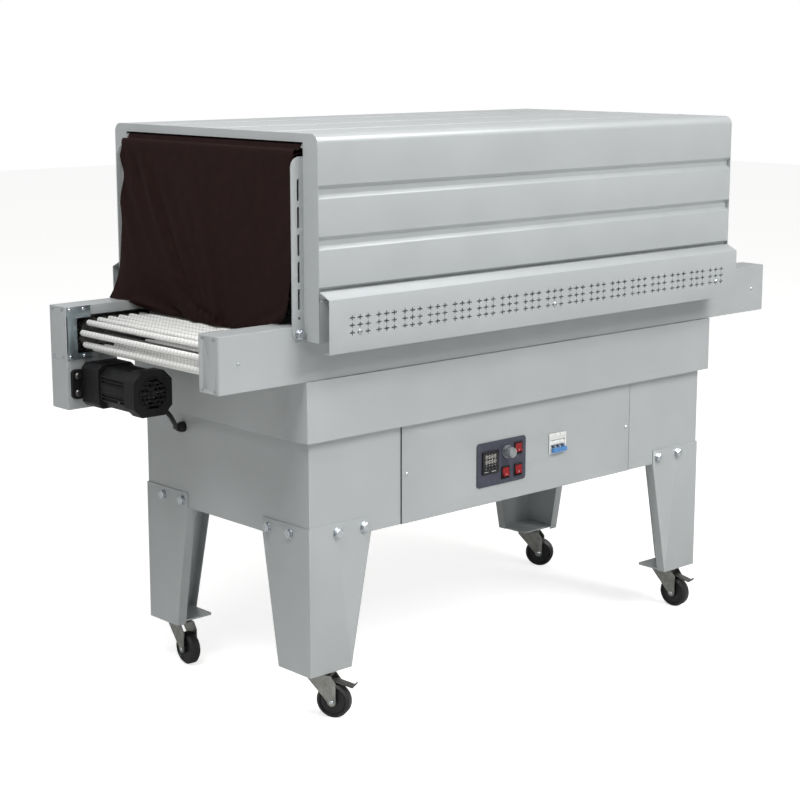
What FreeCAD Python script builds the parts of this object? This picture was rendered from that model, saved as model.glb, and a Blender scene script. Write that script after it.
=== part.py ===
import FreeCAD, Part
import math
import os

# Shrink tunnel on casters. Millimetres, Z up.
# The origin is on the floor under the middle of the machine.
# X runs along the conveyor towards the exit, minus Y is the control side.

Vec = FreeCAD.Vector
X_AXIS = Vec(1, 0, 0)
Y_AXIS = Vec(0, 1, 0)
Z_AXIS = Vec(0, 0, 1)

# Conveyor frame
conveyor_length = 1620.0
conveyor_width = 566.0
rail_width = 59.0
rail_height = 108.0
rail_sheet = 2.5
rail_top_lip = 20.0
rail_bottom_lip = 11.0
cap_sheet = 2.0
cap_screw_diameter = 8.0
cap_screw_sink = 0.1
cap_screw_margins = (12.0, 6.0)
nose_plate_length = 54.0
nose_plate_sheet = 3.0
nose_plate_gap = 3.0
nose_plate_margin = 12.0
notch_clearance = 1.5

# Chain, sprockets and rollers
chain_pitch = 12.7
sprocket_teeth = 14
shaft_inset = 60.7
chain_height = 740.0
chain_drop = 60.0
plate_half_height = 5.9
plate_sheet = 3.1
chain_inner_width = 7.75
sprocket_face = 7.2
tooth_height = 4.0
tooth_depth = 4.4
tooth_tip_share = 0.08
tooth_root_share = 0.3
roller_diameter = 12.5
roller_side_gap = 8.0
roller_end_gap = 0.25
shaft_diameter = 17.0
shaft_end_gap = 1.0
bearing_diameter = 40.0
bearing_length = 14.0
bearing_flange = 62.0
bearing_flange_sheet = 4.0
bearing_flange_corner = 12.0
bore_clearance = 0.05
guide_end_gap = 49.3
guide_height = 6.0
guide_gap = 0.4
guide_width = 8.0
guide_leg = 24.0

# Drive under the entrance end of the rear rail
box_length = 120.0
box_height = 102.0
box_sheet = 2.0
box_bore = 30.0
drive_sprocket_offset = 17.0
output_inset = 40.0
output_drop = 50.0
output_shaft_diameter = 12.0
flange_length = 66.0
flange_height = 60.0
flange_sheet = 8.0
gearbox_size = 88.0
gearbox_length = 60.0
gearbox_corner = 9.0
motor_offset = 33.0
motor_stator_size = 82.0
motor_stator_length = 92.0
motor_corner = 17.0
fin_count = 7
fin_width = 2.5
fin_depth = 4.0
fin_end_margin = 6.0
end_cap_size = 91.0
end_cap_length = 34.0
end_cap_corner = 19.0
end_cap_wall = 3.0
grille_diameter = 62.0
grille_slot = 4.5
grille_slots = 7
grille_rim = 2.0
fan_room_gap = 3.0
fan_diameter = 56.0
fan_length = 14.0
fan_blades = 6
fan_blade_sheet = 2.0
fan_gap = 3.0
fan_back_gap = 0.3
fan_hub_diameter = 16.0
rotor_diameter = 8.0

# Motor cable and its gland
# The route is measured from the conveyor end, the rail's inner face and the output shaft.
cable_diameter = 8.0
cable_route = [
    (109.0, 174.0, 36.0),
    (123.0, 174.0, 50.0),
    (140.0, 156.0, 64.0),
    (156.0, 135.0, 75.5),
    (170.5, 111.5, 89.5),
    (183.0, 90.0, 100.5),
    (203.5, 87.0, 103.0),
]
gland_diameter = 22.0
gland_length = 16.5
gland_neck_diameter = 14.7
bend_share = 0.45

# Cabinet and legs
shell_end_inset = 220.0
shell_side_inset = 13.5
shell_height = 205.0
band_end_step = 16.0
band_side_step = 17.5
band_height = 120.0
sheet = 2.0
deck_inlet_diameter = 190.0
deck_slots = 3
deck_slot_width = 24.0
deck_slot_gap = 75.0
deck_end_margin = 81.0
deck_slot_inset = 48.0
door_left = -350.0
door_right = 345.0
door_sheet = 2.5
door_frame_overlap = 14.0
leg_sheet = 2.5
leg_bottom = 98.5
leg_lap = 32.0
leg_side_widths = (160.0, 107.0)
leg_end_widths = (146.0, 100.0)
leg_return = 22.0
foot_plate_length = 100.0
foot_plate_width = 84.0
foot_plate_sheet = 4.0
foot_plate_corner = 8.0
leg_bolt_side_offsets = (72.0, 142.0)
leg_bolt_end_offsets = (60.0, 128.0)
leg_bolt_drop = 18.0
bolt_shank = 10.0
bolt_flats = 17.0
bolt_head = 6.4
washer_diameter = 22.0
washer_sheet = 2.0
bolt_tail = 6.0
drill_start = 5.0
drill_length = 25.0

# Hood
hood_end_inset = 200.0
hood_side_step = 45.0
hood_lap = 28.0
hood_height = 385.0
hood_sheet = 1.5
hood_corner = 18.0
opening_drop = 16.0
groove_depth = 9.0
groove_height = 25.0
groove_flat = 9.0
side_groove_drops = (105.5, 199.5, 293.5)
top_groove_offsets = (-188.0, 0.0, 188.0)
lip_sheet = 3.0
lip_reach = 28.0
lip_height = 344.0
lip_corner = 20.0
lip_slot_width = 6.0
lip_slot_length = 40.0
lip_slot_pitch = 50.8
lip_first_slot = 80.0
lip_slots = 5
lip_slot_shift = 2.0
lip_hole_rise = 45.0
lip_bolt_rise = 14.0

# Perforated skirts
skirt_end_inset = 2.0
skirt_side_step = 28.0
skirt_sheet = 1.5
skirt_lap = 19.0
skirt_height = 102.0
skirt_slope = 13.0
skirt_hood_gap = 0.5
skirt_return = 14.0
cross_width = 13.0
cross_height = 10.0
cross_arm = 2.8
cross_pitch_x = 19.6
cross_pitch_z = 14.2
cross_rows = 3
cross_columns = 3
cross_margin = 50.0
cross_group_pitch = 66.6
cross_rise = 64.5
standoff_inset = 74.0
standoff_rise = 37.0
standoff_diameter = 12.0
panel_screw_diameter = 8.0
panel_screw_head = 2.2
second_screw_pitch = 32.4
door_screw_drop = 30.8

# Curtains
rod_diameter = 8.0
rod_drop = 10.0
rod_inset = 7.0
rod_nut_flats = 13.0
rod_nut_length = 6.0
curtain_sheet = 2.4
curtain_side_gap = 3.0
curtain_rail_gap = 4.0
curtain_hem = 3.0
curtain_hem_gap = 0.3

# Air heating under the conveyor
heater_diameter = 10.0
heater_spacing = 40.0
heater_end_gap = 126.0
heater_side_gap = 24.0
heater_rise = 68.0
heater_bracket_inset = 96.0
impeller_diameter = 220.0
impeller_height = 55.0
impeller_rise = 14.0
impeller_blades = 10
impeller_sheet = 2.5
impeller_eye = 154.0
blade_root = 60.5
blade_tip_gap = 2.0
blade_lean = -25.0
hub_diameter = 36.0
hub_height = 33.0
blower_shaft_diameter = 12.0
blower_shaft_room = 24.0
blower_motor_diameter = 120.0
blower_flange_diameter = 156.0
blower_motor_height = 85.0
blower_flange_sheet = 6.0

# Controls
plate_left = -140.0
plate_right = 6.0
plate_height = 95.0
plate_drop = 72.0
plate_corner = 8.0
control_plate_sheet = 2.0
controller_x = -101.8
controller_drop = 43.5
controller_size = 48.0
controller_depth = 60.0
controller_rim = 3.0
display_rise = 5.5
display_width = 40.0
display_height = 28.0
display_depth = 0.6
key_count = 4
key_width = 7.0
key_height = 5.0
key_travel = 1.2
key_gap = 0.3
key_stand = 0.6
key_sink = 1.0
key_floor = 1.2
key_drop = 12.5
key_pitch = 10.0
knob_x = -51.5
knob_drop = 27.5
knob_diameter = 24.0
knob_length = 16.0
knob_skirt_diameter = 27.0
knob_skirt_length = 3.0
knob_stem_diameter = 6.0
knob_stem_length = 20.0
knob_hole_diameter = 12.0
knob_gap = 0.3
knob_taper = 1.5
pointer_width = 1.6
pointer_depth = 1.0
rocker_places = (
    ("power_rocker", -18.0, 24.3),
    ("fan_rocker", -56.0, 71.7),
    ("conveyor_rocker", -18.0, 71.7),
)
bezel_width = 24.0
bezel_height = 27.0
bezel_depth = 18.0
bezel_rim = 2.4
bezel_wall = 2.5
bezel_room_depth = 13.5
rocker_gap = 0.4
rocker_end_gap = 1.8
rocker_tilt = 8.0
rocker_pivot_depth = 6.0
rocker_stand = 2.2
rocker_dip = 1.8
rocker_back = 2.0
rocker_heel = 3.0
rocker_draft = 1.4
trunnion_diameter = 3.0
trunnion_length = 1.1
trunnion_clearance = 0.1
breaker_x = 107.75
breaker_drop = 33.0
breaker_width = 54.0
breaker_height = 45.0
breaker_nose = 5.0
breaker_stand = 1.0
breaker_shoulder = 18.0
breaker_depth = 62.0
breaker_slot_height = 26.0
breaker_slot_gap = 0.3
breaker_slot_depth = 14.0
breaker_rest_tilt = -40.0
toggle_width = 44.0
toggle_reach = 12.0
toggle_sheet = 5.0
toggle_pivot_diameter = 9.0
window_gap = 0.5

# Casters
caster_end_inset = 43.0
caster_side_inset = 45.5
caster_plate_size = 58.0
caster_plate_sheet = 3.0
caster_plate_corner = 7.0
caster_pin_tail = 3.0
race_diameter = 40.0
race_length = 6.0
race_gap = 0.05
wheel_diameter = 70.0
wheel_width = 24.0
wheel_edge = 5.0
wheel_rim_width = 4.0
wheel_rim_chamfer = 2.0
wheel_hub_diameter = 20.0
wheel_hub_width = 29.0
wheel_dish = 3.0
axle_diameter = 8.0
axle_stand = 1.5
caster_trail = 28.0
fork_sheet = 2.5
fork_width = 35.0
fork_crown_length = 50.0
fork_tip_radius = 9.0
cheek_front_drop = 6.0
cheek_back_drop = 16.0
lever_width = 20.0
lever_reach = 32.0
lever_bends = (1.0, -3.0, -11.0, -6.0)
lever_toe = 4.0
lever_sheet = 2.5
lever_pin_diameter = 6.0
lever_pivot = (-20.0, 80.0)
# Name, side in X and Y, shift in its plate slots in X and Y, turn, braked or not
casters = (
    ("front_left", -1, -1, 12.0, -11.0, 29.0, True),
    ("front_right", 1, -1, 0.0, 0.0, 8.0, True),
    ("rear_left", -1, 1, 0.0, 0.0, -4.0, False),
    ("rear_right", 1, 1, 0.0, 0.0, 33.0, False),
)

# Derived values
half_length = conveyor_length / 2
rail_outer = conveyor_width / 2
rail_inner = rail_outer - rail_width
rail_top = chain_height + chain_drop
rail_bottom = rail_top - rail_height
pitch_radius = chain_pitch / (2 * math.sin(math.pi / sprocket_teeth))
run_pitches = round((conveyor_length - 2 * shaft_inset) / chain_pitch)
shaft_x = run_pitches * chain_pitch / 2
guide_length = 2 * (shaft_x - guide_end_gap)
roller_length = 2 * (rail_inner - roller_side_gap)
output_x = -half_length + output_inset
motor_x = output_x + motor_offset
chain_inner_face = roller_length / 2 + roller_end_gap
chain_middle = chain_inner_face + plate_sheet + chain_inner_width / 2
drive_chain_middle = chain_middle + drive_sprocket_offset
output_height = rail_bottom - output_drop
cable_points = [
    (-half_length + along_x, rail_inner - along_y, output_height - drop)
    for along_x, along_y, drop in cable_route
]
band_top = rail_bottom
band_bottom = band_top - band_height
shell_length = conveyor_length - 2 * shell_end_inset
shell_width = conveyor_width - 2 * shell_side_inset
band_length = shell_length + 2 * band_end_step
band_width = shell_width + 2 * band_side_step
shell_bottom = band_bottom - shell_height
leg_top = shell_bottom + leg_lap
leg_bolt_height = leg_top - leg_bolt_drop
shell_half_length = shell_length / 2
shell_half_width = shell_width / 2
leg_corner_x = shell_half_length + leg_sheet
leg_corner_y = shell_half_width + leg_sheet
panel_face = -shell_half_width - door_sheet
plate_face = panel_face - control_plate_sheet
plate_top = band_bottom - plate_drop
plate_bottom = plate_top - plate_height
controller_z = plate_top - controller_drop
knob_z = plate_top - knob_drop
breaker_z = plate_top - breaker_drop
rockers = [(name, x, plate_top - drop) for name, x, drop in rocker_places]
hood_half_width = conveyor_width / 2 + hood_side_step
hood_half_length = conveyor_length / 2 - hood_end_inset
hood_bottom = rail_top - hood_lap
hood_top = hood_bottom + hood_height
opening_top = hood_top - opening_drop
lip_bottom = hood_bottom - 1
lip_top = lip_bottom + lip_height
rod_height = opening_top - rod_drop
skirt_bottom = hood_bottom - skirt_lap
skirt_shoulder = skirt_bottom + skirt_height
skirt_top = skirt_shoulder + skirt_slope
standoff_height = skirt_bottom + standoff_rise
heater_height = band_bottom + heater_rise
impeller_bottom = band_bottom + impeller_rise
opening_half_width = rail_outer + lip_sheet
lip_middle_x = -hood_half_length - lip_reach / 2 + lip_slot_shift
rod_x = hood_half_length - rod_inset
curtain_half_width = opening_half_width - lip_sheet - curtain_side_gap
skirt_half_width = hood_half_width + skirt_side_step
skirt_length = 2 * (hood_half_length - skirt_end_inset)
cross_group_width = (cross_columns - 1) * cross_pitch_x
cross_span = skirt_length - 2 * cross_margin - cross_group_width
cross_groups = 1 + int(cross_span / cross_group_pitch)
deck_slot_length = (band_length - 2 * deck_end_margin + deck_slot_gap) / deck_slots - deck_slot_gap
heater_length = band_length - 2 * heater_end_gap
heater_offset = rail_inner - heater_side_gap
caster_x = shell_half_length - caster_end_inset
caster_y = shell_half_width - caster_side_inset


# Helpers
def box(x_range, y_range, z_range):
    size = (x_range[1] - x_range[0], y_range[1] - y_range[0], z_range[1] - z_range[0])
    return Part.makeBox(*size, Vec(x_range[0], y_range[0], z_range[0]))


def centred_box(centre, size):
    corner = [c - s / 2 for c, s in zip(centre, size)]
    return Part.makeBox(*size, Vec(*corner))


def rod(diameter, start, axis, length):
    return Part.makeCylinder(diameter / 2, length, Vec(*start), axis)


def prism(points, push):
    corners = [Vec(*point) for point in points]
    return Part.Face(Part.makePolygon(corners + corners[:1])).extrude(push)


def x_prism(outline, x_start, x_end):
    return prism([(x_start, y, z) for y, z in outline], Vec(x_end - x_start, 0, 0))


def y_prism(outline, y_start, y_end):
    return prism([(x, y_start, z) for x, z in outline], Vec(0, y_end - y_start, 0))


def z_prism(outline, z_start, z_end):
    return prism([(x, y, z_start) for x, y in outline], Vec(0, 0, z_end - z_start))


def offset_line(points, distance):
    """Mitred offset of an open line, to the left of its direction."""
    normals = []
    for (ax, ay), (bx, by) in zip(points, points[1:]):
        length = math.hypot(bx - ax, by - ay)
        normals.append(((ay - by) / length, (bx - ax) / length))
    ends = [normals[0]] + normals + [normals[-1]]
    moved = []
    for (px, py), (ax, ay), (bx, by) in zip(points, ends, ends[1:]):
        scale = distance / (1 + ax * bx + ay * by)
        moved.append((px + (ax + bx) * scale, py + (ay + by) * scale))
    return moved


def sheet_outline(points, thickness):
    """Section of a folded sheet whose outer face follows the points."""
    return points + offset_line(points, thickness)[::-1]


def fillet(shape, radius, choose):
    edges = [edge for edge in shape.Edges if choose(edge)]
    return shape.makeFillet(radius, edges) if edges else shape


def along(edge, axis):
    if len(edge.Vertexes) < 2:
        return False
    span = edge.Vertexes[1].Point.sub(edge.Vertexes[0].Point)
    return span.cross(axis).Length < 0.001


def fuse(shapes):
    return shapes[0].fuse(shapes[1:]).removeSplitter()


def mirrored_y(shape):
    return shape.mirror(Vec(0, 0, 0), Y_AXIS)


def mirrored_x(shape):
    return shape.mirror(Vec(0, 0, 0), X_AXIS)


def both_sides(shape):
    return [shape, mirrored_y(shape)]


def four_corners(shape):
    pair = both_sides(shape)
    return pair + [mirrored_x(item) for item in pair]


def turned(shape, centre, axis, angle):
    copy = shape.copy()
    copy.rotate(Vec(*centre), axis, angle)
    return copy


def save(node, shapes):
    solids = [solid for shape in shapes for solid in shape.Solids]
    Part.makeCompound(solids).exportStep("parts/" + node + ".step")


# Conveyor frame
def front_rail():
    inner, outer = -rail_inner, -rail_outer
    line = [
        (inner, rail_bottom + rail_bottom_lip),
        (inner, rail_bottom),
        (outer, rail_bottom),
        (outer, rail_top),
        (inner, rail_top),
        (inner, rail_top - rail_top_lip),
    ]
    end = half_length - cap_sheet
    return x_prism(sheet_outline(line, -rail_sheet), -end, end)


def rear_rail():
    """The rear rail has a slot in its floor for the drive chain."""
    slot_x = (-half_length + cap_sheet + box_sheet, -half_length + box_length - box_sheet)
    slot_y = (rail_inner + 2 * rail_sheet, rail_outer - 2 * rail_sheet)
    slot = box(slot_x, slot_y, (rail_bottom - 1, rail_bottom + rail_sheet + 1))
    return mirrored_y(front_rail()).cut(slot)


def cap_screw_places():
    """Y and Z of the four countersunk screws of one rail end."""
    side, end = cap_screw_margins
    heights = (rail_bottom + end, rail_top - end)
    return [(y, z) for y in (-rail_outer + side, -rail_inner - side) for z in heights]


def countersink(y, z, sink, gap):
    """Cone of a countersunk head in the cap at the front left end."""
    depth = cap_sheet - sink
    radius = cap_screw_diameter / 2 - sink + gap
    start = Vec(-half_length + sink, y, z)
    return Part.makeCone(radius, radius - depth, depth, start, X_AXIS)


def rail_end_cap():
    x_range = (-half_length, -half_length + cap_sheet)
    cap = box(x_range, (-rail_outer, -rail_inner), (rail_bottom, rail_top))
    return cap.cut([countersink(y, z, 0, bore_clearance) for y, z in cap_screw_places()])


def nose_plate():
    """Plate on the inner face of a rail end, notched for the chain."""
    start = -half_length + nose_plate_gap
    end = start + nose_plate_length
    reach = pitch_radius + plate_half_height + notch_clearance
    notch_start = -shaft_x - reach
    y_range = (-rail_inner, -rail_inner + nose_plate_sheet)
    plate = box((start, end), y_range, (rail_bottom, rail_top))
    notch_z = (chain_height - reach, chain_height + reach)
    notch = box((notch_start, end + 1), (y_range[0] - 1, y_range[1] + 1), notch_z)
    return plate.cut(notch)


def chain_guides():
    """Angle strips on the rail web that carry both runs of the chain."""
    top = chain_height + pitch_radius - plate_half_height - guide_gap
    web = -rail_outer + rail_sheet
    shelf_edge = -chain_inner_face - plate_sheet
    half = guide_length / 2
    section = [
        (web, top - guide_leg),
        (web, top),
        (shelf_edge, top),
        (shelf_edge, top - guide_height),
        (web + guide_height, top - guide_height),
        (web + guide_height, top - guide_leg),
    ]
    upper = x_prism(section, -half, half)
    lower_top = chain_height - pitch_radius - plate_half_height - guide_gap
    lip_face = -rail_inner - rail_sheet
    lower_z = (rail_bottom + rail_sheet, lower_top)
    lower = box((-half, half), (lip_face - guide_width, lip_face), lower_z)
    return upper, lower


def shaft_bearing():
    """Flanged bearing on the rail web, facing the conveyor."""
    web = -rail_outer + rail_sheet
    flange = centred_box(
        (-shaft_x, web + bearing_flange_sheet / 2, chain_height),
        (bearing_flange, bearing_flange_sheet, bearing_flange),
    )
    flange = fillet(flange, bearing_flange_corner, lambda edge: along(edge, Y_AXIS))
    ring = rod(bearing_diameter, (-shaft_x, web, chain_height), Y_AXIS, bearing_length)
    bore = shaft_diameter + 2 * bore_clearance
    hole = rod(bore, (-shaft_x, web - 1, chain_height), Y_AXIS, bearing_length + 2)
    return fuse([flange, ring]).cut(hole)


# Chain drive
def sprocket(x, z, middle):
    """Toothed wheel whose gullets sit under the chain pins."""
    outer = pitch_radius + tooth_height
    root = pitch_radius - tooth_depth
    step = 2 * math.pi / sprocket_teeth
    corners = (
        (root, -tooth_root_share),
        (outer, -tooth_tip_share),
        (outer, tooth_tip_share),
        (root, tooth_root_share),
    )
    outline = []
    for tooth in range(sprocket_teeth):
        angle = (tooth + 0.5) * step
        for radius, share in corners:
            turn = angle + share * step
            outline.append((x + radius * math.cos(turn), z + radius * math.sin(turn)))
    return y_prism(outline, middle - sprocket_face / 2, middle + sprocket_face / 2)


def shaft_length():
    return 2 * (rail_outer - rail_sheet - shaft_end_gap)


def idle_shaft():
    start = (shaft_x, -shaft_length() / 2, chain_height)
    bar = rod(shaft_diameter, start, Y_AXIS, shaft_length())
    wheels = [sprocket(shaft_x, chain_height, side * chain_middle) for side in (-1, 1)]
    return fuse([bar] + wheels)


def drive_shaft():
    driven = sprocket(-shaft_x, chain_height, drive_chain_middle)
    return fuse([mirrored_x(idle_shaft()), driven])


def output_shaft():
    """Gearbox output with the small driving sprocket in the drive box."""
    start = rail_inner - flange_sheet
    length = drive_chain_middle + sprocket_face / 2 - start
    bar = rod(output_shaft_diameter, (output_x, start, output_height), Y_AXIS, length)
    return fuse([bar, sprocket(output_x, output_height, drive_chain_middle)])


def loop_outline(first, second, radius):
    """Outline of a chain loop: straight runs and the links round each wheel."""
    heading = math.atan2(second[1] - first[1], second[0] - first[0])
    half_turn = sprocket_teeth // 2
    outline = []
    for centre, start in ((first, heading + math.pi / 2), (second, heading - math.pi / 2)):
        for link in range(half_turn + 1):
            angle = start + link * math.pi / half_turn
            outline.append((centre[0] + radius * math.cos(angle), centre[1] + radius * math.sin(angle)))
    return outline


def chain_loop(first, second, middle):
    """Inner and outer link plates of one endless chain."""
    outer = loop_outline(first, second, pitch_radius + plate_half_height)
    inner = loop_outline(first, second, pitch_radius - plate_half_height)
    plates = []
    for side in (-1, 1):
        near = middle + side * chain_inner_width / 2
        far = near + side * plate_sheet
        low, high = min(near, far), max(near, far)
        plates.append(y_prism(outer, low, high).cut(y_prism(inner, low - 1, high + 1)))
    return plates


def conveyor_chains():
    ends = ((-shaft_x, chain_height), (shaft_x, chain_height))
    return chain_loop(*ends, -chain_middle) + chain_loop(*ends, chain_middle)


def drive_chain():
    ends = ((output_x, output_height), (-shaft_x, chain_height))
    return chain_loop(*ends, drive_chain_middle)


def pin_place(count):
    """X and Z of one chain pin, counted from the top of the entrance wheel."""
    half_turn = sprocket_teeth // 2
    step = math.pi / half_turn
    if count <= half_turn:
        centre, angle = -shaft_x, math.pi / 2 + count * step
    elif count < half_turn + run_pitches:
        return -shaft_x + (count - half_turn) * chain_pitch, chain_height - pitch_radius
    elif count <= 2 * half_turn + run_pitches:
        centre, angle = shaft_x, -math.pi / 2 + (count - half_turn - run_pitches) * step
    else:
        gone = count - 2 * half_turn - run_pitches
        return shaft_x - gone * chain_pitch, chain_height + pitch_radius
    return centre + pitch_radius * math.cos(angle), chain_height + pitch_radius * math.sin(angle)


def conveyor_rollers():
    """White sleeves between the chains, one on every second pin."""
    pins = 2 * run_pitches + sprocket_teeth
    length = 2 * chain_inner_face
    rollers = []
    for count in range(1, pins, 2):
        x, z = pin_place(count)
        rollers.append(rod(roller_diameter, (x, -length / 2, z), Y_AXIS, length))
    return rollers


def drive_box():
    """Chain cover under the rear rail, open at the top."""
    x_range = (-half_length, -half_length + box_length)
    z_range = (rail_bottom - box_height, rail_bottom)
    outer = box(x_range, (rail_inner, rail_outer), z_range)
    inner_x = (x_range[0] + box_sheet, x_range[1] - box_sheet)
    inner_y = (rail_inner + box_sheet, rail_outer - box_sheet)
    inner = box(inner_x, inner_y, (z_range[0] + box_sheet, z_range[1] + 1))
    hole_start = (output_x, rail_inner - 1, output_height)
    hole = rod(box_bore, hole_start, Y_AXIS, box_sheet + 2)
    return outer.cut(inner).cut(hole)


# Gear motor
def square_section(size, corner, x, z, y_start, y_end):
    block = centred_box((x, (y_start + y_end) / 2, z), (size, y_end - y_start, size))
    edges = [edge for edge in block.Edges if along(edge, Y_AXIS)]
    return block.makeChamfer(corner, edges)


def gearbox():
    """Gearbox body with its off-centre output flange."""
    flange_face = rail_inner
    flange_back = flange_face - flange_sheet
    body_back = flange_back - gearbox_length
    flange = centred_box(
        (output_x, (flange_face + flange_back) / 2, output_height),
        (flange_length, flange_sheet, flange_height),
    )
    flange = fillet(flange, gearbox_corner, lambda edge: along(edge, Y_AXIS))
    body = square_section(gearbox_size, gearbox_corner, motor_x, output_height, body_back, flange_back)
    bore = output_shaft_diameter + 2 * bore_clearance
    hole = rod(bore, (output_x, flange_back, output_height), Y_AXIS, flange_sheet + 1)
    return fuse([flange, body]).cut(hole)


def motor_stator():
    """Stator housing with cooling fins along all four sides."""
    front = rail_inner - flange_sheet - gearbox_length
    back = front - motor_stator_length
    body = square_section(motor_stator_size, motor_corner, motor_x, output_height, back, front)
    pitch = (motor_stator_size - 2 * motor_corner) / fin_count
    grooves = []
    for turn in range(4):
        for index in range(fin_count):
            shift = (index - (fin_count - 1) / 2) * pitch
            top = output_height + motor_stator_size / 2
            middle = (motor_x + shift, (front + back) / 2, top)
            size = (pitch - fin_width, motor_stator_length - 2 * fin_end_margin, 2 * fin_depth)
            groove = centred_box(middle, size)
            grooves.append(turned(groove, (motor_x, 0, output_height), Y_AXIS, 90 * turn))
    return body.cut(grooves)


def motor_end_cap():
    """Hollow rear cap with a round slotted grille over the fan."""
    front = rail_inner - flange_sheet - gearbox_length - motor_stator_length
    back = front - end_cap_length
    cap = square_section(end_cap_size, end_cap_corner, motor_x, output_height, back, front)
    start = back + end_cap_wall
    room = rod(grille_diameter + 2 * fan_room_gap, (motor_x, start, output_height), Y_AXIS, end_cap_length)
    cuts = [room]
    for index in range(grille_slots):
        height = (2 * index + 1 - grille_slots) * grille_slot
        half = math.sqrt((grille_diameter / 2) ** 2 - height ** 2) - grille_rim
        middle = (motor_x, back, output_height + height)
        cuts.append(centred_box(middle, (2 * half, 3 * end_cap_wall, grille_slot)))
    return cap.cut(cuts)


def motor_fan():
    front = rail_inner - flange_sheet - gearbox_length - motor_stator_length
    start = front - end_cap_length + end_cap_wall + fan_gap
    end = front - fan_back_gap
    place = (motor_x, start, output_height)
    parts = [rod(fan_hub_diameter, place, Y_AXIS, end - start)]
    radius = fan_diameter / 2
    for index in range(fan_blades):
        blade = box(
            (motor_x + rotor_diameter / 2, motor_x + radius),
            (start, start + fan_length),
            (output_height - fan_blade_sheet / 2, output_height + fan_blade_sheet / 2),
        )
        parts.append(turned(blade, (motor_x, 0, output_height), Y_AXIS, index * 360 / fan_blades))
    return fuse(parts)


def rounded_path(points):
    """Straight runs joined by arcs that touch both runs."""
    corners = [Vec(*point) for point in points]
    edges = []
    at = corners[0]
    for before, corner, after in zip(corners, corners[1:], corners[2:]):
        way_in = corner.sub(before).normalize()
        way_out = after.sub(corner).normalize()
        turn = way_in.getAngle(way_out)
        cut = bend_share * min(corner.sub(before).Length, after.sub(corner).Length)
        radius = cut / math.tan(turn / 2)
        start = corner.sub(way_in * cut)
        end = corner.add(way_out * cut)
        inward = way_out.sub(way_in).normalize()
        middle = corner.add(inward * (radius / math.cos(turn / 2) - radius))
        print("cable radius", round(radius, 1))
        edges.append(Part.LineSegment(at, start).toShape())
        edges.append(Part.Arc(start, middle, end).toShape())
        at = end
    edges.append(Part.LineSegment(at, corners[-1]).toShape())
    return Part.Wire(edges)


def motor_cable():
    path = rounded_path(cable_points)
    heading = Vec(*cable_points[1]).sub(Vec(*cable_points[0]))
    ring = Part.makeCircle(cable_diameter / 2, Vec(*cable_points[0]), heading)
    tube = path.makePipeShell([Part.Wire(ring)], True, False)
    print("cable volume share", tube.Volume / (math.pi * cable_diameter ** 2 / 4 * path.Length))
    return tube


def cable_gland():
    """Round gland on the cabinet end wall, its bore just over the cable."""
    end = Vec(*cable_points[-1])
    wall = -shell_half_length
    nut = rod(gland_diameter, (wall, end.y, end.z), Vec(-1, 0, 0), gland_length / 2)
    dome_start = Vec(wall - gland_length / 2, end.y, end.z)
    radii = (gland_diameter / 2, gland_neck_diameter / 2)
    dome = Part.makeCone(*radii, gland_length / 2, dome_start, Vec(-1, 0, 0))
    return fuse([nut, dome])


# Cabinet
def cabinet_band():
    """Upper band: four walls and a floor that the deck closes."""
    half_x, half_y = band_length / 2, band_width / 2
    outer = box((-half_x, half_x), (-half_y, half_y), (band_bottom, band_top))
    inner_x = (-half_x + sheet, half_x - sheet)
    inner_y = (-half_y + sheet, half_y - sheet)
    inner = box(inner_x, inner_y, (band_bottom + sheet, band_top + 1))
    shaft_hole = rod(blower_shaft_room, (0, 0, band_bottom - 1), Z_AXIS, sheet + 2)
    return outer.cut(inner).cut(shaft_hole)


def tunnel_deck():
    """Deck over the band, with the return air inlet and hot air slots."""
    half_x, half_y = band_length / 2 - sheet, band_width / 2 - sheet
    top = band_top
    plate = box((-half_x, half_x), (-half_y, half_y), (top - sheet, top))
    cuts = [rod(deck_inlet_diameter, (0, 0, top - sheet - 1), Z_AXIS, sheet + 2)]
    slot_y = rail_inner - deck_slot_inset
    for index in range(deck_slots):
        x = (index - (deck_slots - 1) / 2) * (deck_slot_length + deck_slot_gap)
        for side in (-1, 1):
            middle = (x, side * slot_y, top)
            cuts.append(centred_box(middle, (deck_slot_length, deck_slot_width, 4 * sheet)))
    return plate.cut(cuts)


def cabinet_shell():
    """Lower cabinet, a closed box with an opening behind the door."""
    half_x, half_y = shell_half_length, shell_half_width
    outer = box((-half_x, half_x), (-half_y, half_y), (shell_bottom, band_bottom))
    inner_x = (-half_x + sheet, half_x - sheet)
    inner_y = (-half_y + sheet, half_y - sheet)
    inner = box(inner_x, inner_y, (shell_bottom + sheet, band_bottom + 1))
    edge = door_frame_overlap
    door_x = (door_left + edge, door_right - edge)
    door_z = (shell_bottom + edge, band_bottom - edge)
    opening = box(door_x, (-half_y - 1, -half_y + sheet + 1), door_z)
    return outer.cut(inner).cut(opening)


def control_door():
    """Front door with openings for the controls and the breaker."""
    door = box((door_left, door_right), (panel_face, -shell_half_width), (shell_bottom, band_bottom))
    return door.cut(control_openings(panel_face - 1, -shell_half_width + 1))


def control_openings(y_start, y_end):
    """Cuts that let the controls through the door and the control plate."""
    length = y_end - y_start
    middle = (y_start + y_end) / 2
    body = controller_size - 2 * controller_rim
    cuts = [centred_box((controller_x, middle, controller_z), (body, length, body))]
    cuts.append(rod(knob_hole_diameter, (knob_x, y_start, knob_z), Y_AXIS, length))
    width = bezel_width - bezel_rim
    height = bezel_height - bezel_rim
    for _, x, z in rockers:
        cuts.append(centred_box((x, middle, z), (width, length, height)))
    window = (breaker_width + 2 * window_gap, length, breaker_height + 2 * window_gap)
    cuts.append(centred_box((breaker_x, middle, breaker_z), window))
    return cuts


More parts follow.
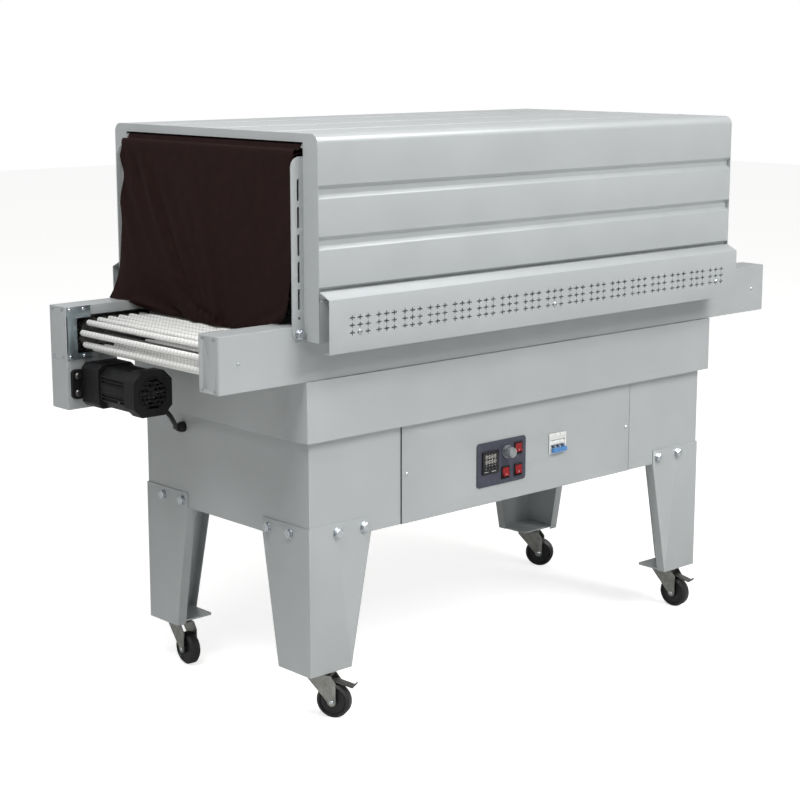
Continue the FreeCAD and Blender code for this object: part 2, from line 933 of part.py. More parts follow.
def leg_wall(prism, corner, face, widths):
    """One tapered wall of a leg from its corner, with the return flange at its slanted edge."""
    top_width, foot_width = widths
    outline = [
        (corner, leg_bottom),
        (corner + foot_width, leg_bottom),
        (corner + top_width, shell_bottom),
        (corner + top_width, leg_top),
        (corner, leg_top),
    ]
    rise = shell_bottom - leg_bottom
    slant = leg_sheet * math.hypot(rise, top_width - foot_width) / rise
    flange = [
        (corner + foot_width, leg_bottom),
        (corner + top_width, shell_bottom),
        (corner + top_width - slant, shell_bottom),
        (corner + foot_width - slant, leg_bottom),
    ]
    return [prism(outline, face, face + leg_sheet), prism(flange, face, face + leg_return)]


def leg():
    """Front left leg: folded sheet, tapered, with two return flanges."""
    side = leg_wall(y_prism, -leg_corner_x, -leg_corner_y, leg_side_widths)
    end = leg_wall(x_prism, -leg_corner_y, -leg_corner_x, leg_end_widths)
    return fuse(side + end).cut(foot_plate())


def foot_plate():
    """Plate inside the foot of the front left leg that takes the caster."""
    inner_x = -leg_corner_x + leg_sheet
    inner_y = -leg_corner_y + leg_sheet
    x_range = (inner_x, inner_x + foot_plate_length)
    y_range = (inner_y, inner_y + foot_plate_width)
    plate = box(x_range, y_range, (leg_bottom, leg_bottom + foot_plate_sheet))
    tip = lambda edge: (
        along(edge, Z_AXIS)
        and edge.Vertexes[0].X > x_range[1] - 1
        and edge.Vertexes[0].Y > y_range[1] - 1
    )
    return fillet(plate, foot_plate_corner, tip)


def hex_bolt(face, axis, grip):
    """Hexagon head and washer on a face, with a shank through the grip."""
    radius = bolt_flats / math.sqrt(3)
    ring = [(radius * math.cos(i * math.pi / 3), radius * math.sin(i * math.pi / 3)) for i in range(6)]
    head = z_prism(ring, washer_sheet, washer_sheet + bolt_head)
    washer = rod(washer_diameter, (0, 0, 0), Z_AXIS, washer_sheet)
    shank = rod(bolt_shank, (0, 0, -grip - bolt_tail), Z_AXIS, grip + bolt_tail)
    bolt = fuse([head, washer, shank])
    bolt.rotate(Vec(0, 0, 0), *turn_to(axis))
    bolt.translate(Vec(*face))
    return bolt


def turn_to(axis):
    """Rotation axis and angle that turn Z onto the given axis."""
    rotation = FreeCAD.Rotation(Z_AXIS, Vec(*axis))
    return rotation.Axis, math.degrees(rotation.Angle)


def bolt_hole(face, axis):
    """Clearance hole through the sheets under a bolt."""
    start = Vec(*face) + Vec(*axis) * drill_start
    return Part.makeCylinder(bolt_shank / 2 + bore_clearance, drill_length, start, -Vec(*axis))


def leg_bolt_places():
    """Face points and outward directions of the bolts of the front left leg."""
    places = []
    for offset in leg_bolt_side_offsets:
        places.append(((-leg_corner_x + offset, -leg_corner_y, leg_bolt_height), (0, -1, 0)))
    for offset in leg_bolt_end_offsets:
        places.append(((-leg_corner_x, -leg_corner_y + offset, leg_bolt_height), (-1, 0, 0)))
    return places


def hood_bolt_place():
    """Bolt of the front left lip, through the lip into the rail web."""
    return (lip_middle_x, -opening_half_width, lip_bottom + lip_bolt_rise), (0, -1, 0)


# Hood
def grooved_line(start, end, centres):
    """Straight line with trapezoidal grooves pressed to its left."""
    length = math.hypot(end[0] - start[0], end[1] - start[1])
    along_x, along_y = (end[0] - start[0]) / length, (end[1] - start[1]) / length
    points = [start]
    for centre in sorted(centres):
        for shift, depth in (
            (-groove_height / 2, 0),
            (-groove_flat / 2, groove_depth),
            (groove_flat / 2, groove_depth),
            (groove_height / 2, 0),
        ):
            s = centre + shift
            x = start[0] + along_x * s - along_y * depth
            y = start[1] + along_y * s + along_x * depth
            points.append((x, y))
    return points


def passes(edge, y, z):
    """True for an edge along X at this height, on either side."""
    centre = edge.BoundBox.Center
    return along(edge, X_AXIS) and abs(abs(centre.y) - y) < 0.01 and abs(centre.z - z) < 0.01


def hood_shell():
    """Outer skin: two sides and the top, with long pressed grooves."""
    side = -hood_half_width
    left = grooved_line((side, hood_top), (side, hood_bottom), side_groove_drops)
    down_left = left + [(side, hood_bottom)]
    top = grooved_line((-side, hood_top), (side, hood_top), [-side - y for y in top_groove_offsets])
    up_right = [(-y, z) for y, z in reversed(down_left)]
    line = up_right[:-1] + top + down_left
    end = hood_half_length - hood_sheet
    shell = x_prism(sheet_outline(line, hood_sheet), -end, end)
    shell = fillet(shell, hood_corner, lambda edge: passes(edge, hood_half_width, hood_top))
    inner_y, inner_z = hood_half_width - hood_sheet, hood_top - hood_sheet
    return fillet(shell, hood_corner - hood_sheet, lambda edge: passes(edge, inner_y, inner_z))


def hood_liner():
    """Inner wall of the double walled hood, with a flange to each outer side."""
    side = opening_half_width
    foot = hood_half_width - hood_sheet
    line = [
        (foot, hood_bottom),
        (side, hood_bottom),
        (side, opening_top),
        (-side, opening_top),
        (-side, hood_bottom),
        (-foot, hood_bottom),
    ]
    end = hood_half_length - hood_sheet
    return x_prism(sheet_outline(line, -hood_sheet), -end, end)


def end_frame_plate():
    """Flat frame that closes the gap between the outer skin and the liner."""
    x_range = (-hood_half_length, -hood_half_length + hood_sheet)
    plate = box(x_range, (-hood_half_width, hood_half_width), (hood_bottom, hood_top))
    top = lambda edge: along(edge, X_AXIS) and edge.BoundBox.ZMin > hood_top - 0.01
    plate = fillet(plate, hood_corner, top)
    opening_y = (-opening_half_width, opening_half_width)
    opening = box((x_range[0] - 1, x_range[1] + 1), opening_y, (hood_bottom - 1, opening_top))
    return plate.cut(opening)


def rounded_slot(x, z_bottom, y_start, length):
    radius = lip_slot_width / 2
    slot = centred_box(
        (x, y_start + length / 2, z_bottom + lip_slot_length / 2),
        (lip_slot_width, length, lip_slot_length),
    )
    return fillet(slot, radius - 0.01, lambda edge: along(edge, Y_AXIS))


def side_lip():
    """Slotted lip that sticks out beside the curtain, front left."""
    outer = -hood_half_length - lip_reach
    y_range = (-opening_half_width, -opening_half_width + lip_sheet)
    plate = box((outer, -hood_half_length + hood_sheet), y_range, (lip_bottom, lip_top))
    corner = lambda edge: along(edge, Y_AXIS) and edge.Vertexes[0].X < outer + 1
    plate = fillet(plate, lip_corner, corner)
    cuts = []
    for index in range(lip_slots):
        bottom = lip_bottom + lip_first_slot - lip_slot_length / 2 + index * lip_slot_pitch
        cuts.append(rounded_slot(lip_middle_x, bottom, y_range[0] - 1, lip_sheet + 2))
    hole_start = (lip_middle_x, y_range[0] - 1, lip_bottom + lip_hole_rise)
    cuts.append(rod(lip_slot_width, hole_start, Y_AXIS, lip_sheet + 2))
    cuts.append(bolt_hole(*hood_bolt_place()))
    return plate.cut(cuts)


def hood_end_frame():
    lips = both_sides(side_lip())
    return fuse([end_frame_plate()] + lips)


# Skirts
def cross_outline(x, z):
    """Twelve corners of a plus shaped perforation."""
    wide, tall, arm = cross_width / 2, cross_height / 2, cross_arm / 2
    quarter = [(wide, arm), (arm, arm), (arm, tall)]
    top_right = quarter
    top_left = [(-a, b) for a, b in reversed(quarter)]
    bottom_left = [(-a, -b) for a, b in quarter]
    bottom_right = [(a, -b) for a, b in reversed(quarter)]
    return [(x + a, z + b) for a, b in top_right + top_left + bottom_left + bottom_right]


def perforated_wall():
    """Upright wall of the front skirt with groups of crosses in rows."""
    face = -skirt_half_width
    half = skirt_length / 2
    corners = [(-half, skirt_bottom), (half, skirt_bottom), (half, skirt_shoulder), (-half, skirt_shoulder)]
    wires = [Part.makePolygon([Vec(x, face, z) for x, z in corners + corners[:1]])]
    first = -((cross_groups - 1) * cross_group_pitch + cross_group_width) / 2
    for group in range(cross_groups):
        for column in range(cross_columns):
            x = first + group * cross_group_pitch + column * cross_pitch_x
            for row in range(cross_rows):
                outline = cross_outline(x, skirt_bottom + cross_rise - row * cross_pitch_z)
                wires.append(Part.makePolygon([Vec(a, face, b) for a, b in outline + outline[:1]]))
    return Part.Face(wires, "Part::FaceMakerBullseye").extrude(Vec(0, skirt_sheet, 0))


def side_skirt():
    """Front skirt: sloped top edge, perforated wall and bottom return."""
    face = -skirt_half_width
    hood = -hood_half_width - skirt_hood_gap
    half = skirt_length / 2
    upper = [(hood, skirt_top), (face, skirt_shoulder), (face, skirt_shoulder - 2)]
    lower = [(face, skirt_bottom + 2), (face, skirt_bottom), (face + skirt_return, skirt_bottom)]
    folds = [x_prism(sheet_outline(line, skirt_sheet), -half, half) for line in (upper, lower)]
    return fuse([perforated_wall()] + folds)


def skirt_fixings():
    """Standoff and screw that hold the front skirt to the hood side."""
    parts = []
    end = skirt_length / 2 - standoff_inset
    for x in (-end, 0, end):
        start = (x, -skirt_half_width + skirt_sheet, standoff_height)
        length = skirt_half_width - skirt_sheet - hood_half_width
        parts.append(rod(standoff_diameter, start, Y_AXIS, length))
        head = (x, -skirt_half_width - panel_screw_head, standoff_height)
        parts.append(rod(panel_screw_diameter, head, Y_AXIS, panel_screw_head))
    return parts


def panel_screws():
    """Screws of the caps, nose plates and door, and the skirt fixings."""
    heads = []
    inset = nose_plate_margin
    for y, z in cap_screw_places():
        heads += four_corners(countersink(y, z, cap_screw_sink, 0))
    first = -half_length + nose_plate_gap + panel_screw_diameter / 2 + 1
    second = first + second_screw_pitch
    for x in (first, second):
        for z in (rail_bottom + inset / 2, rail_top - inset / 2):
            start = (x, -rail_inner + nose_plate_sheet, z)
            heads += four_corners(rod(panel_screw_diameter, start, Y_AXIS, panel_screw_head))
    for x in (door_left + inset, door_right - inset):
        start = (x, panel_face - panel_screw_head, plate_top - door_screw_drop)
        heads.append(rod(panel_screw_diameter, start, Y_AXIS, panel_screw_head))
    for part in skirt_fixings():
        heads += both_sides(part)
    return heads


# Curtains
def curtain_rod():
    """Rod across the entrance with a nut at each end."""
    half = opening_half_width
    bar = rod(rod_diameter, (-rod_x, -half, rod_height), Y_AXIS, 2 * half)
    radius = rod_nut_flats / math.sqrt(3)
    ring = [
        (-rod_x + radius * math.cos(i * math.pi / 3), rod_height + radius * math.sin(i * math.pi / 3))
        for i in range(6)
    ]
    nut = y_prism(ring, -half, -half + rod_nut_length)
    return fuse([bar, nut, mirrored_y(nut)])


def curtain():
    """Flat entrance curtain with a sewn hem round the rod."""
    half = curtain_half_width - rod_nut_length
    bore = rod_diameter + 2 * curtain_hem_gap
    hem_diameter = bore + 2 * curtain_hem
    hem = rod(hem_diameter, (-rod_x, -half, rod_height), Y_AXIS, 2 * half)
    bottom = rail_top + curtain_rail_gap
    wide = box(
        (-rod_x - curtain_sheet / 2, -rod_x + curtain_sheet / 2),
        (-half, half),
        (bottom, rod_height),
    )
    hole = rod(bore, (-rod_x, -half - 1, rod_height), Y_AXIS, 2 * half + 2)
    return fuse([hem, wide]).cut(hole)


# Air heating
def heater_tube(y):
    """U shaped tubular heater lying along the band."""
    half = heater_length / 2
    radius = heater_spacing / 2
    straight = half - radius
    z = heater_height
    edges = [
        Part.LineSegment(Vec(-half, y - radius, z), Vec(straight, y - radius, z)).toShape(),
        Part.Arc(Vec(straight, y - radius, z), Vec(half, y, z), Vec(straight, y + radius, z)).toShape(),
        Part.LineSegment(Vec(straight, y + radius, z), Vec(-half, y + radius, z)).toShape(),
    ]
    ring = Part.makeCircle(heater_diameter / 2, Vec(-half, y - radius, z), X_AXIS)
    return Part.Wire(edges).makePipeShell([Part.Wire(ring)], True, False)


def heater_bracket(x, y):
    """Upright strip on the band floor that carries one heater."""
    width = heater_spacing + 2 * heater_diameter
    foot = band_bottom + sheet
    strip_z = (foot, heater_height + heater_diameter)
    strip = box((x - sheet / 2, x + sheet / 2), (y - width / 2, y + width / 2), strip_z)
    cuts = []
    for side in (-1, 1):
        start = (x - sheet, y + side * heater_spacing / 2, heater_height)
        cuts.append(rod(heater_diameter + 2 * bore_clearance, start, X_AXIS, 2 * sheet))
    return strip.cut(cuts)


def heaters():
    parts = []
    for y in (-heater_offset, heater_offset):
        parts.append(heater_tube(y))
        for x in (heater_bracket_inset - heater_length / 2, heater_length / 2 - heater_bracket_inset):
            parts.append(heater_bracket(x, y))
    return parts


def blower_impeller():
    """Centrifugal wheel with radial blades between a plate and a ring."""
    radius = impeller_diameter / 2
    plate = rod(impeller_diameter, (0, 0, impeller_bottom), Z_AXIS, impeller_sheet)
    hub = rod(hub_diameter, (0, 0, impeller_bottom), Z_AXIS, hub_height)
    top = impeller_bottom + impeller_height
    ring = rod(impeller_diameter, (0, 0, top - impeller_sheet), Z_AXIS, impeller_sheet)
    eye = rod(impeller_eye, (0, 0, top - impeller_sheet - 1), Z_AXIS, impeller_sheet + 2)
    blades = []
    for index in range(impeller_blades):
        blade = box(
            (blade_root, radius - blade_tip_gap),
            (-impeller_sheet / 2, impeller_sheet / 2),
            (impeller_bottom, top),
        )
        leaned = turned(blade, (blade_root, 0, 0), Z_AXIS, blade_lean)
        inside = leaned.common(rod(impeller_diameter, (0, 0, impeller_bottom), Z_AXIS, impeller_height))
        blades.append(turned(inside, (0, 0, 0), Z_AXIS, index * 360 / impeller_blades))
    wheel = fuse([plate, hub, ring.cut(eye)] + blades)
    shaft_start = band_bottom - blower_flange_sheet
    shaft_end = impeller_bottom + impeller_sheet
    shaft = rod(blower_shaft_diameter, (0, 0, shaft_start), Z_AXIS, shaft_end - shaft_start)
    return fuse([wheel, shaft])


def blower_motor():
    """Motor hung under the band floor by its flange."""
    top = band_bottom
    flange_start = (0, 0, top - blower_flange_sheet)
    flange = rod(blower_flange_diameter, flange_start, Z_AXIS, blower_flange_sheet)
    bottom = top - blower_flange_sheet - blower_motor_height
    body = rod(blower_motor_diameter, (0, 0, bottom), Z_AXIS, blower_motor_height)
    bore = blower_shaft_diameter + 2 * bore_clearance
    hole = rod(bore, flange_start, Z_AXIS, blower_flange_sheet + 1)
    return fuse([flange, body]).cut(hole)


# Controls
def control_plate():
    plate = box((plate_left, plate_right), (plate_face, panel_face), (plate_bottom, plate_top))
    plate = fillet(plate, plate_corner, lambda edge: along(edge, Y_AXIS))
    return plate.cut(control_openings(plate_face - 1, panel_face + 1))


def key_places():
    start = controller_x - (key_count - 1) * key_pitch / 2
    return [(start + index * key_pitch, controller_z - key_drop) for index in range(key_count)]


def temperature_controller():
    """Square controller: rim over the plate, body through the door."""
    size = controller_size
    face = plate_face - controller_rim
    rim = box(
        (controller_x - size / 2, controller_x + size / 2),
        (face, plate_face),
        (controller_z - size / 2, controller_z + size / 2),
    )
    body_size = size - 2 * controller_rim - 2 * rocker_gap
    body = centred_box(
        (controller_x, plate_face + controller_depth / 2, controller_z),
        (body_size, controller_depth, body_size),
    )
    window_size = (display_width, 2 * display_depth, display_height)
    window = centred_box((controller_x, face, controller_z + display_rise), window_size)
    cuts = [window]
    for x, z in key_places():
        pocket = (key_width + 2 * key_gap, 2 * (key_travel + key_floor), key_height + 2 * key_gap)
        cuts.append(centred_box((x, face, z), pocket))
    return fuse([rim, body]).cut(cuts)


def controller_key(x, z):
    face = plate_face - controller_rim
    middle = (x, face + (key_sink - key_stand) / 2, z)
    return centred_box(middle, (key_width, key_sink + key_stand, key_height))


def speed_knob():
    """Turned knob with a skirt, a pointer groove and its stem."""
    back = plate_face - knob_gap
    skirt = rod(knob_skirt_diameter, (knob_x, back, knob_z), Vec(0, -1, 0), knob_skirt_length)
    body_start = back - knob_skirt_length
    body = Part.makeCone(
        knob_diameter / 2,
        knob_diameter / 2 - knob_taper,
        knob_length,
        Vec(knob_x, body_start, knob_z),
        Vec(0, -1, 0),
    )
    stem = rod(knob_stem_diameter, (knob_x, back, knob_z), Y_AXIS, knob_stem_length)
    groove = centred_box(
        (knob_x, body_start - knob_length, knob_z + knob_diameter / 4),
        (pointer_width, 2 * pointer_depth, knob_diameter / 2),
    )
    return fuse([skirt, body, stem]).cut(groove)


def rocker_bezel(x, z):
    """Snap-in frame that carries a rocker between two side walls."""
    front = plate_face - bezel_rim
    rim = box(
        (x - bezel_width / 2, x + bezel_width / 2),
        (front, plate_face),
        (z - bezel_height / 2, z + bezel_height / 2),
    )
    inset = bezel_rim / 2 + rocker_gap
    body = box(
        (x - bezel_width / 2 + inset, x + bezel_width / 2 - inset),
        (plate_face, plate_face + bezel_depth),
        (z - bezel_height / 2 + inset, z + bezel_height / 2 - inset),
    )
    room_x = bezel_width / 2 - bezel_wall
    room_z = bezel_height / 2 - bezel_wall
    room_y = (front - 1, plate_face + bezel_room_depth)
    room = box((x - room_x, x + room_x), room_y, (z - room_z, z + room_z))
    bore = trunnion_diameter + 2 * trunnion_clearance
    hole = rod(bore, (x - bezel_width / 2, rocker_pivot_y(), z), X_AXIS, bezel_width)
    return fuse([rim, body]).cut([room, hole])


def rocker_pivot_y():
    return plate_face + rocker_pivot_depth


def rocker(x, z):
    """Rocker key on two trunnions, a shallow V, resting with its top out."""
    half_x = bezel_width / 2 - bezel_wall - rocker_gap
    half_z = bezel_height / 2 - bezel_wall - rocker_end_gap
    front = plate_face - bezel_rim - rocker_stand
    pivot = rocker_pivot_y()
    section = [
        (front, z - half_z),
        (front + rocker_dip, z),
        (front, z + half_z),
        (pivot - rocker_back, z + half_z - rocker_draft),
        (pivot + rocker_heel, z),
        (pivot - rocker_back, z - half_z + rocker_draft),
    ]
    corners = [Vec(x - half_x, y, height) for y, height in section]
    key = Part.Face(Part.makePolygon(corners + corners[:1])).extrude(Vec(2 * half_x, 0, 0))
    reach = half_x + trunnion_length
    trunnions = rod(trunnion_diameter, (x - reach, pivot, z), X_AXIS, 2 * reach)
    return turned(fuse([key, trunnions]), (x, pivot, z), X_AXIS, -rocker_tilt)


def breaker_body():
    """Three pole breaker: nose in the window, body behind the door."""
    front = panel_face - breaker_stand
    half_x, half_z = breaker_width / 2, breaker_height / 2
    nose = box(
        (breaker_x - half_x, breaker_x + half_x),
        (front, front + breaker_nose + door_sheet),
        (breaker_z - half_z, breaker_z + half_z),
    )
    body = box(
        (breaker_x - half_x, breaker_x + half_x),
        (front + breaker_nose + door_sheet, front + breaker_depth),
        (breaker_z - half_z - breaker_shoulder, breaker_z + half_z + breaker_shoulder),
    )
    slot = centred_box(
        (breaker_x, front, breaker_z),
        (toggle_width + 2 * breaker_slot_gap, 2 * breaker_slot_depth, breaker_slot_height),
    )
    return fuse([nose, body]).cut(slot)


def breaker_toggle():
    """Ganged toggle across the three poles, resting down in the off place."""
    pivot_y = panel_face - breaker_stand + breaker_slot_depth / 2
    start = breaker_x - toggle_width / 2
    barrel = rod(toggle_pivot_diameter, (start, pivot_y, breaker_z), X_AXIS, toggle_width)
    reach = pivot_y - toggle_reach - toggle_pivot_diameter / 2
    arm_z = (breaker_z - toggle_sheet / 2, breaker_z + toggle_sheet / 2)
    arm = box((start, start + toggle_width), (reach, pivot_y), arm_z)
    return turned(fuse([barrel, arm]), (0, pivot_y, breaker_z), X_AXIS, -breaker_rest_tilt)


# Casters
def wheel_centre_z():
    return wheel_diameter / 2


def crown_top():
    return leg_bottom - caster_plate_sheet - race_length


def caster_plate(x, y):
    """Plate and bearing race under a foot plate."""
    plate = centred_box(
        (x, y, leg_bottom - caster_plate_sheet / 2),
        (caster_plate_size, caster_plate_size, caster_plate_sheet),
    )
    plate = fillet(plate, caster_plate_corner, lambda edge: along(edge, Z_AXIS))
    race = rod(race_diameter, (x, y, crown_top() + race_gap), Z_AXIS, race_length - race_gap)
    pin_start = crown_top() - fork_sheet - caster_pin_tail
    pin = rod(axle_diameter, (x, y, pin_start), Z_AXIS, crown_top() + race_length - pin_start)
    return fuse([plate, race, pin])


def caster_fork():
    """Fork at the origin, trailing towards minus Y."""
    top = crown_top()
    half = fork_width / 2
    crown = box((-half, half), (-fork_crown_length / 2, fork_crown_length / 2), (top - fork_sheet, top))
    hole = rod(axle_diameter + 2 * bore_clearance, (0, 0, top - 2 * fork_sheet), Z_AXIS, 3 * fork_sheet)
    tip = wheel_centre_z()
    cheek = [
        (-fork_crown_length / 2, top),
        (fork_crown_length / 2, top),
        (fork_crown_length / 2, top - cheek_front_drop),
        (-caster_trail + fork_tip_radius, tip),
        (-caster_trail - fork_tip_radius, tip),
        (-caster_trail - fork_tip_radius, top - cheek_back_drop),
    ]
    parts = [crown]
    for start in (-half, half - fork_sheet):
        wall = x_prism(cheek, start, start + fork_sheet)
        foot = rod(2 * fork_tip_radius, (start, -caster_trail, tip), X_AXIS, fork_sheet)
        parts.append(wall.fuse(foot))
    axle_start = -half - axle_stand
    axle = rod(axle_diameter, (axle_start, -caster_trail, tip), X_AXIS, -2 * axle_start)
    return fuse(parts + [axle]).cut(hole)


def caster_wheel():
    """Rubber tyred wheel with dished sides and a hub on the axle."""
    radius = wheel_diameter / 2
    half = wheel_width / 2
    bore = axle_diameter / 2 + bore_clearance
    hub, hub_half = wheel_hub_diameter / 2, wheel_hub_width / 2
    inner_rim = radius - wheel_edge - wheel_rim_width
    section = [
        (bore, -hub_half),
        (hub, -hub_half),
        (hub, -half + wheel_dish),
        (inner_rim, -half + wheel_dish),
        (inner_rim + wheel_rim_chamfer, -half),
        (radius - wheel_edge, -half),
        (radius, -half + wheel_edge),
    ]
    section = section + [(r, -a) for r, a in reversed(section)]
    corners = [Vec(a, -caster_trail, wheel_centre_z() + r) for r, a in section]
    profile = Part.Face(Part.makePolygon(corners + corners[:1]))
    return profile.revolve(Vec(0, -caster_trail, wheel_centre_z()), X_AXIS, 360)


def brake_lever():
    """Foot lever on a pin between the cheeks, reaching out past the wheel."""
    half = lever_width / 2
    pivot = Vec(0, lever_pivot[0], lever_pivot[1])
    cheek_back = -caster_trail - fork_tip_radius
    toe = cheek_back - lever_reach
    places = (pivot.y, cheek_back, toe, toe - lever_toe)
    line = [(y, pivot.z + rise) for y, rise in zip(places, lever_bends)]
    blade = x_prism(sheet_outline(line, lever_sheet), -half, half)
    pin_half = fork_width / 2 - fork_sheet - race_gap
    pin = rod(lever_pin_diameter, (-pin_half, pivot.y, pivot.z), X_AXIS, 2 * pin_half)
    return fuse([blade, pin])


def caster_places():
    """Name, centre, turn and brake of each caster."""
    places = []
    for name, side_x, side_y, shift_x, shift_y, turn, braked in casters:
        centre = Vec(side_x * caster_x + shift_x, side_y * caster_y + shift_y, 0)
        places.append((name, centre, turn, braked))
    return places


def place_caster(shape, centre, turn):
    copy = turned(shape, (0, 0, 0), Z_AXIS, turn)
    copy.translate(centre)
    return copy


def drilled(shape, places):
    return shape.cut([bolt_hole(*place) for place in places])


def build_frame():
    front_bolts = leg_bolt_places()
    hood_bolts = [hood_bolt_place()]
    holes = []
    for place in front_bolts + hood_bolts:
        holes += four_corners(bolt_hole(*place))
    save("front_rail", [front_rail().cut(holes)])
    save("rear_rail", [rear_rail().cut(holes)])
    save("rail_end_caps", four_corners(rail_end_cap()))
    save("nose_plates", four_corners(nose_plate()))
    save("chain_guides", [part for guide in chain_guides() for part in both_sides(guide)])
    save("shaft_bearings", four_corners(shaft_bearing()))
    save("drive_box", [drive_box()])
    save("cabinet_band", [cabinet_band()])
    save("tunnel_deck", [tunnel_deck()])
    save("cabinet_shell", [cabinet_shell().cut(holes)])
    save("control_door", [control_door()])
    save("legs", four_corners(leg().cut(holes)))
    save("foot_plates", four_corners(foot_plate()))
    bolts = []
    for face, axis in front_bolts:
        bolts += four_corners(hex_bolt(face, axis, leg_sheet + sheet))
    for face, axis in hood_bolts:
        bolts += four_corners(hex_bolt(face, axis, lip_sheet + rail_sheet))
    save("frame_bolts", bolts)
    save("panel_screws", panel_screws())


def build_conveyor():
    save("drive_shaft", [drive_shaft()])
    save("idle_shaft", [idle_shaft()])
    save("output_shaft", [output_shaft()])
    save("conveyor_chains", conveyor_chains())
    save("drive_chain", drive_chain())
    save("conveyor_rollers", conveyor_rollers())


def build_motor():
    save("gearbox", [gearbox()])
    save("motor_body", [motor_stator(), motor_end_cap()])
    save("motor_fan", [motor_fan()])
    save("motor_cable", [motor_cable()])
    save("cable_gland", [cable_gland()])


def build_hood():
    save("hood_shell", [hood_shell()])
    save("hood_liner", [hood_liner()])
    frame = hood_end_frame()
    save("hood_end_frames", [frame, mirrored_x(frame)])
    save("side_skirts", both_sides(side_skirt()))
    save("curtain_rods", [curtain_rod(), mirrored_x(curtain_rod())])
    save("entrance_curtain", [curtain()])
    save("exit_curtain", [mirrored_x(curtain())])


def build_air():
    save("heater_tubes", heaters())
    save("blower_impeller", [blower_impeller()])
    save("blower_motor", [blower_motor()])


def build_controls():
    save("control_plate", [control_plate()])
    save("temperature_controller", [temperature_controller()])
    for index, (x, z) in enumerate(key_places()):
        save("controller_key_" + str(index + 1), [controller_key(x, z)])
    save("speed_knob", [speed_knob()])
    save("rocker_bezels", [rocker_bezel(x, z) for _, x, z in rockers])
    for name, x, z in rockers:
        save(name, [rocker(x, z)])
    save("breaker_body", [breaker_body()])
    save("breaker_toggle", [breaker_toggle()])


def build_casters():
    save("caster_plates", [caster_plate(at.x, at.y) for _, at, _, _ in caster_places()])
    for name, centre, turn, braked in caster_places():
        save(name + "_fork", [place_caster(caster_fork(), centre, turn)])
        save(name + "_wheel", [place_caster(caster_wheel(), centre, turn)])
        if braked:
            save(name + "_brake", [place_caster(brake_lever(), centre, turn)])


os.makedirs("parts", exist_ok=True)
build_frame()
build_conveyor()
build_motor()
build_hood()
build_air()
build_controls()
build_casters()
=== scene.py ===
import bmesh
import bpy
import math
from mathutils import Matrix, Vector
from mathutils.bvhtree import BVHTree


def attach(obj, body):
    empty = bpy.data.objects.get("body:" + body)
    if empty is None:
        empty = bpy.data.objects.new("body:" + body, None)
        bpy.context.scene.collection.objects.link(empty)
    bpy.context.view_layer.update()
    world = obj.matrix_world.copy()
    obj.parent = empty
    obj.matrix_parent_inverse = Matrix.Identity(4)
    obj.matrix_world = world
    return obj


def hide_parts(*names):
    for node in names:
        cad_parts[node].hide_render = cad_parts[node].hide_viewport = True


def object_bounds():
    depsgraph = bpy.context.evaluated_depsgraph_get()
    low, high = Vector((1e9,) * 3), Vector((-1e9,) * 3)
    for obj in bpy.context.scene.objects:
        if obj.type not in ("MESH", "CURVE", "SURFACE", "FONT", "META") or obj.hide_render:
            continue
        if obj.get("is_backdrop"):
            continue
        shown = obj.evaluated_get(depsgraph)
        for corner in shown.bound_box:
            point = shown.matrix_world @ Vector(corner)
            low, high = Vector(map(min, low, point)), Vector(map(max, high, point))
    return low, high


# Shrink tunnel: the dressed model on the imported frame. Metres, Z up.
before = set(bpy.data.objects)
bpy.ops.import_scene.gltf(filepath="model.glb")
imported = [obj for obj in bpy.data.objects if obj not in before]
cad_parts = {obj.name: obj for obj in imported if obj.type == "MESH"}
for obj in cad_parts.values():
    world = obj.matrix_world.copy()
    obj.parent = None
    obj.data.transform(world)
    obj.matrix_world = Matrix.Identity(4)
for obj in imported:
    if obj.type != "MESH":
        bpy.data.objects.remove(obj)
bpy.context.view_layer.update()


# Finishes
def linear(code):
    """sRGB hex to linear RGBA."""
    values = [int(code[i:i + 2], 16) / 255 for i in (1, 3, 5)]
    return [v / 12.92 if v <= 0.04045 else ((v + 0.055) / 1.055) ** 2.4 for v in values] + [1.0]


def add(tree, kind, inputs=None, **settings):
    """Adds a node, sets what it is told, and links or fills its inputs."""
    made = tree.nodes.new(kind)
    for name, value in settings.items():
        setattr(made, name, value)
    for name, value in (inputs or {}).items():
        if isinstance(value, bpy.types.NodeSocket):
            tree.links.new(value, made.inputs[name])
        else:
            made.inputs[name].default_value = value
    return made


def finish(name, **shader_inputs):
    """A material with its shader, and the object coordinates its patterns read."""
    material = bpy.data.materials.new(name)
    material.use_nodes = True
    tree = material.node_tree
    tree.nodes.clear()
    shader = add(tree, "ShaderNodeBsdfPrincipled", shader_inputs)
    add(tree, "ShaderNodeOutputMaterial", {"Surface": shader.outputs["BSDF"]})
    place = add(tree, "ShaderNodeTexCoord").outputs["Object"]
    return material, tree, shader, place


def mottle(tree, place, size, detail=2.0):
    """Noise whose lumps are about this many metres across."""
    inputs = {"Vector": place, "Scale": 1 / size, "Detail": detail}
    return add(tree, "ShaderNodeTexNoise", inputs).outputs["Fac"]


def between(tree, factor, low, high, start=0.3, end=0.7):
    """Colour that runs from one hex to another as the factor rises."""
    ramp = add(tree, "ShaderNodeValToRGB", {"Fac": factor})
    ramp.color_ramp.elements[0].position = start
    ramp.color_ramp.elements[1].position = end
    ramp.color_ramp.elements[0].color = linear(low)
    ramp.color_ramp.elements[1].color = linear(high)
    return ramp.outputs["Color"]


def tint(tree, shader, factor, *shades):
    """Colour the surface between two shades along the factor."""
    tree.links.new(between(tree, factor, *shades), shader.inputs["Base Color"])


def spread(tree, factor, low, high):
    """Value between two limits."""
    return add(tree, "ShaderNodeMapRange", {"Value": factor, "To Min": low, "To Max": high}).outputs["Result"]


